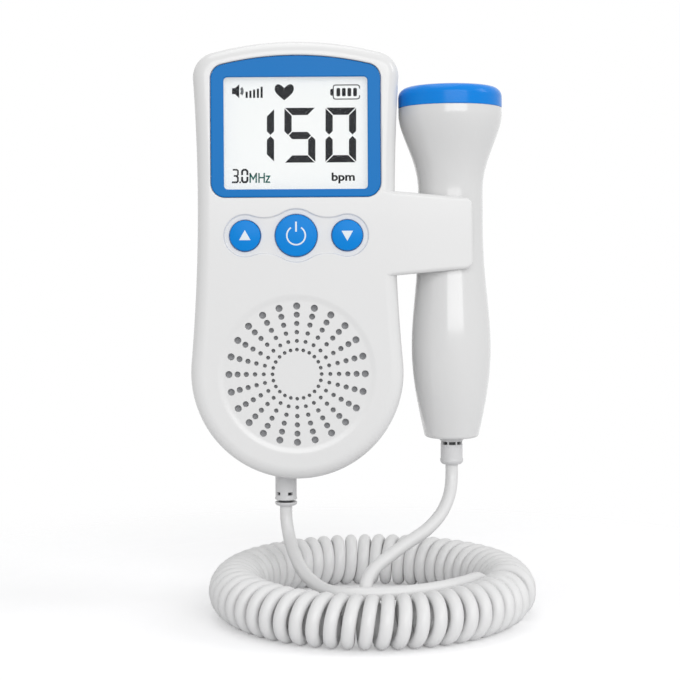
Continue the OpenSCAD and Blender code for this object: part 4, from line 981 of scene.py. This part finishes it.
def raised(patches, x, r):
    """Thin printed marks that follow a button's dome. Each patch is a grid of points given from the
    button's middle: one layer of it lies just proud of the dome, another just under it, and strips
    join their four borders. The dome falls by the square of the way out."""
    parts = []
    for flat in patches:
        m, n = flat.shape[:2]
        out = np.hypot(flat[..., 0], flat[..., 1]) / (r - EDGE_R)
        depth = BODY_D + BUTTON_PROUD + DOME * (1 - out ** 2)
        layers = [np.stack([flat[..., 0] + x, -(depth + lift), flat[..., 1] + BUTTON_Z], -1).reshape(-1, 3)
                  for lift in (PRINT_OVER, PRINT_UNDER)]
        grid = np.arange(m * n).reshape(m, n)
        quads = np.stack([grid[:-1, :-1], grid[:-1, 1:], grid[1:, 1:], grid[1:, :-1]], -1).reshape(-1, 4)
        rim = np.concatenate([grid[0, :-1], grid[:-1, -1], grid[-1, :0:-1], grid[:0:-1, 0]])
        side = np.stack([np.roll(rim, -1), rim, rim + m * n, np.roll(rim, -1) + m * n], -1)
        faces = quads.tolist() + (quads[:, ::-1] + m * n).tolist() + side.tolist()
        parts.append(facing_out(np.concatenate(layers), faces))
    return joined(*parts)


def make_buttons():
    """Three caps, each with its mark: power, up and down."""
    s = pixel_size(MARKS_AT)
    for name, x, r in BUTTONS:
        node = f"{name}_button"
        cap = turned(button_profile(r), 120, "y", (x, 0, BUTTON_Z))
        stand_in(f"{name}_cap", raw_mesh(name, *cap), node, node, BUTTON_BLUE)
        if name == "power":
            a, reach = np.meshgrid(np.radians(np.linspace(123, 417, 73)), np.array([8.5, 9.25, 10.0]) * s)
            u, v = np.meshgrid(np.array([-0.85, 0.85]) * s, np.linspace(3.8, 13.8, 9) * s)
            patches = [np.stack([reach * np.cos(a), reach * np.sin(a)], -1), np.stack([u, v], -1)]
        else:
            flip = 1 if name == "up" else -1
            u, v = np.meshgrid(np.linspace(-1, 1, 11), np.linspace(0, 0.995, 11))
            patches = [np.stack([u * (1 - v) * 5.7 * s, (v * 10.1 - 4.4) * s * flip], -1)]
        piece(f"{name}_mark", raised(patches, x, r), node, MARK_WHITE)


make_buttons()


# ---- probe ------------------------------------------------------------------------------------

def make_probe():
    """The probe's white body and blue cap, each a profile turned about the probe's axis."""
    at = (PROBE_X, -PARTING, 0)
    lip_r = float(probe_radius(TAIL_Z + PROBE_LIP))
    a = quarter(8)
    lip = np.stack([lip_r - PROBE_LIP * (1 - np.sin(a)), TAIL_Z + PROBE_LIP * (1 - np.cos(a))], 1)
    z = np.linspace(TAIL_Z + PROBE_LIP, FLARE_Z, 150)[1:]
    side = np.stack([probe_radius(z), z], 1)
    top, floor = CAP_TOP - CAP_H, TAIL_Z + 2 * PROBE_WALL
    z = np.linspace(FLARE_Z, floor, 60)
    inner = np.stack([probe_radius(z) - PROBE_WALL, z], 1)
    profile = [(LEAD_BORE_R, TAIL_Z), *lip.tolist(), *side.tolist(), (HEAD_R, top - 0.15),
               (HEAD_R - 0.15, top), (HEAD_R - PROBE_WALL, top), *inner.tolist(), (LEAD_BORE_R, floor)]
    stand_in("probe_body", turned(profile, 160, "z", at), "probe", "probe_shell", PROBE_WHITE)

    r, shoulder, dome, ring_t, ring_h, cap_t = HEAD_R + 0.05, 3.2, 0.9, 2.0, 2.5, 1.9
    ring, low, under = HEAD_R - PROBE_WALL - SLIP, top - ring_h, CAP_TOP - dome - cap_t
    profile = [(0, under), (ring - ring_t, under), (ring - ring_t, low), (ring, low), (ring, top),
               (r - 0.3, top), (r - 0.08, top + 0.1), (r, top + 0.35),
               *domed(r, shoulder, CAP_TOP - dome, dome, 13)]
    stand_in("probe_face", turned(profile, 160, "z", at), "probe", "probe_cap", CAP_BLUE)


def slotted(profile, slot_z, slots, width, first):
    """A strain relief: its profile turned about z, with slots pressed in between two heights. Each
    slot covers `width` degrees, and the first has its middle at `first`. Extra rows and columns stand
    close by each slot's edges. The third result says how far each point lies inside a slot or groove."""
    profile = np.asarray(profile, float)
    low, high = slot_z, slot_z + SLOT_H
    h = np.array([high + 0.02, high - 0.02, low + 0.02, low - 0.02])
    pitch = 360 / slots
    edges = first + np.arange(slots)[:, None] * pitch + np.array([-0.5, 0.5]) * width
    fine = np.concatenate([(edges - 0.5).ravel(), (edges + 0.5).ravel(), np.arange(0, 360, 7.5)])
    turn = np.sort(np.unique(np.round(fine % 360, 3)))
    wall = [k for k in range(len(profile) - 1)
            if profile[k, 1] > h[0] and profile[k + 1, 1] < h[-1] and profile[k, 0] > 2][0]
    extra = np.stack([np.interp(h, profile[[wall + 1, wall], 1], profile[[wall + 1, wall], 0]), h], 1)
    rows = np.concatenate([profile[:wall + 1], extra, profile[wall + 1:]])
    number = np.arange(len(rows))
    in_height = (number == wall + 2) | (number == wall + 3)
    in_turn = np.abs((turn - first + pitch / 2) % pitch - pitch / 2) < width / 2
    deep = in_height[:, None] & in_turn[None, :]
    reach = rows[:, :1] - SLOT_DEPTH * deep
    t = np.radians(turn)
    rings = np.stack([reach * np.cos(t), reach * np.sin(t), np.repeat(rows[:, 1:], len(t), 1)], -1)
    points, faces = loft(rings)
    groove = (rows[:, :1] < 2.6) & (rows[:, 1:] < -4) & (rows[:, 1:] > rows[-1, 1] + 0.3)
    return points, faces, (deep | groove).astype(float).ravel()


def relief(name, profile, at, slots, body, node):
    """A strain relief as a piece, with painted shade, a darker colour, marked in its slots and groove."""
    points, faces, core = slotted(profile, *slots)
    mesh = raw_mesh(name, points + np.array(at), faces)
    # Painted shade: the slots and groove are marked for the darker colour.
    mesh.attributes.new("core", "FLOAT", "POINT").data.foreach_set("value", core)
    stand_in(name, mesh, body, node, GLAND_WHITE)


def make_glands():
    """The two strain reliefs with their slots, groove and lip, each as (radius, height) downwards
    from the flange inside the shell."""
    r, end = GLAND_R, -GLAND_L
    profile = [(1.9, 4.4), (3.4, 4.4), (3.4, 3.2), (2.4, 3.2), (2.4, 0), (3.25, 0), (r, -0.15), (r, -7.45),
               (r + 0.1, -7.6), (r + 0.15, -7.9), (r + 0.05, -8.15), (2.2, -8.25), (2.2, -8.85),
               (r + 0.05, -8.95), (r + 0.15, -9.25), (r, -9.65), (r - 0.35, end), (1.9, end)]
    relief("main_relief", profile, (GLAND_X, -PARTING, GLAND_Z), (-6.6, 5, 27, -135), "main_unit",
           "main_gland")
    profile = [(1.9, 5.0), (3.4, 5.0), (3.4, 3.65), (2.4, 3.65), (2.4, 0), (4.35, 0), (4.45, -0.15),
               (4.2, -0.5), (3.75, -0.95), (3.5, -1.15), (3.5, -6.8), (3.65, -7.0), (3.7, -7.3),
               (3.62, -7.8), (3.4, -8.2), (3.0, -8.6), (1.9, -8.6)]
    relief("probe_relief", profile, (PROBE_X, -PARTING, TAIL_Z), (-2.3, 8, 36.6, -90), "probe",
           "probe_gland")


make_probe()
make_glands()


# ---- finishes of the CAD nodes that stay ------------------------------------------------------

def glass(n, where):
    """Clear window: it mostly lets the display through and keeps a faint sheen."""
    smear = n.noise(where, 45.0, 3.0, 0.6)
    return dict(Base_Color=n.mix(smear, (38, 42, 46), (42, 46, 50)), Alpha=0.06, Specular_IOR_Level=0.5,
                Roughness=n.span(smear, 0.4, 0.7, 0.04, 0.12), Normal=n.bump(smear, 0.02))


def lcd_glass(n, where):
    """The display's pale field, lit evenly from behind, with a faint fine mesh. Its glow is partly a
    backlight and partly painted light that lifts out the shade of its recess at the edges.
    """
    fine = n.noise(where, 3000.0, 1.0, 0.5)
    return dict(Base_Color=n.mix(fine, (200, 201, 201), (206, 207, 206)), Normal=n.bump(fine, 0.02),
                Roughness=n.span(fine, 0.3, 0.7, 0.37, 0.43), Specular_IOR_Level=0.1,
                Emission_Color=n.mix(fine, (249, 252, 251), (252, 255, 254)), Emission_Strength=LCD_GLOW)


def metal(n, where, rgb, rough):
    """Bare metal: a brushed noise in its gloss and a slight drift of its colour."""
    lines = n.noise(n.add("ShaderNodeMapping", Vector=where, Scale=(1, 1, 0.1)), 900.0, 3.0, 0.6)
    tone = n.noise(where, 120.0, 2.0, 0.5)
    return dict(Base_Color=n.mix(tone, [c * 0.86 for c in rgb], rgb), Metallic=1.0,
                Roughness=n.span(lines, 0.3, 0.7, rough * 0.8, rough * 1.3), Normal=n.bump(lines, 0.05))


def board_mask(n, where):
    """Circuit board: green mask over a grid of tracks, with solder dots."""
    level = n.add("ShaderNodeMapping", Vector=where, Rotation=(math.pi / 2, 0, 0))
    tracks = n.add("ShaderNodeTexBrick", Vector=level, Scale=220.0, Mortar_Size=0.012, Brick_Width=0.7,
                   Row_Height=0.35, out=1)
    dots = n.add("ShaderNodeTexVoronoi", Vector=where, Scale=260.0)
    tin = n.math("LESS_THAN", dots, 0.12)
    return dict(Base_Color=n.mix(tin, n.mix(tracks, (18, 92, 52), (40, 128, 78)), (186, 188, 184)),
                Metallic=n.math("MULTIPLY", tin, 0.9), Normal=n.bump(tracks, 0.3),
                Roughness=n.span(n.noise(where, 300.0), 0.3, 0.7, 0.3, 0.5))


def fabric(n, where):
    """Dust cloth behind the grille: crossed fine threads, mid grey."""
    warp, weft = [n.add("ShaderNodeTexWave", Vector=where, Scale=900.0, bands_direction=along,
                        Distortion=0.4, out=1) for along in "XZ"]
    thread = n.math("MAXIMUM", warp, weft)
    return dict(Base_Color=n.mix(thread, (120, 121, 124), (176, 177, 180)), Roughness=0.95,
                Normal=n.bump(thread, 0.5), Sheen_Weight=0.2)


def sleeve(n, where):
    """A cell's plain sleeve: blue-grey with a lighter band across it."""
    height = n.add("ShaderNodeSeparateXYZ", Vector=where, out=2)
    band = n.math("MULTIPLY", n.math("GREATER_THAN", height, -0.012), n.math("LESS_THAN", height, -0.006))
    fine = n.noise(where, 700.0)
    return dict(Base_Color=n.mix(band, n.mix(fine, (52, 74, 96), (60, 84, 108)), (196, 200, 204)),
                Roughness=n.span(fine, 0.3, 0.7, 0.28, 0.42), Metallic=0.3, Normal=n.bump(fine, 0.05))


# The field's glow is partly its backlight and partly painted light that lifts out the shade of its recess.
LCD_GLOW = 0.57   # strength of the light behind the display's field
BLACK = plastic("black_plastic", (34, 35, 38), rough=0.5, grain=0.1)
DARK = plastic("dark_plastic", (62, 64, 68), rough=0.55, grain=0.12)
CREAM = plastic("frame_plastic", (226, 224, 214), rough=0.5, grain=0.08, wear=0.05)
PAPER = plastic("cone_paper", (88, 86, 84), rough=0.85, grain=0.3, wear=0.0, grain_scale=900.0)
FOAM = plastic("damping_foam", (74, 74, 78), rough=0.95, grain=0.6, wear=0.0, grain_scale=700.0)
TAN = plastic("plunger_plastic", (206, 186, 150), rough=0.45, grain=0.08, wear=0.05)
STEEL = dressed("plated_steel", metal, (196, 198, 200), 0.32)
NICKEL = dressed("nickel", metal, (206, 204, 196), 0.25)
BRASS = dressed("piezo_brass", metal, (214, 178, 98), 0.3)
NODE_FINISH = {
    "display_window": dressed("window_glass", glass), "lcd_panel": dressed("lcd_field", lcd_glass),
    "lcd_backlight": CREAM, "lcd_holder": CREAM, "main_board": dressed("circuit_board", board_mask),
    "probe_board": dressed("circuit_board", board_mask), "board_chips": BLACK, "board_screws": STEEL,
    "button_switches": BLACK, "grille_cloth": dressed("grille_cloth", fabric), "speaker_frame": DARK,
    "speaker_cone": PAPER, "speaker_magnet": STEEL, "headphone_jack": BLACK, "shell_screws": STEEL,
    "cells": dressed("cell_sleeve", sleeve), "contact_plates": NICKEL, "contact_springs": NICKEL,
    "power_plunger": TAN, "up_plunger": TAN, "down_plunger": TAN, "piezo_disc": BRASS,
    "piezo_holder": FOAM}
for node_name, finish in NODE_FINISH.items():
    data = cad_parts[node_name].data
    data.materials.clear()
    data.materials.append(finish)
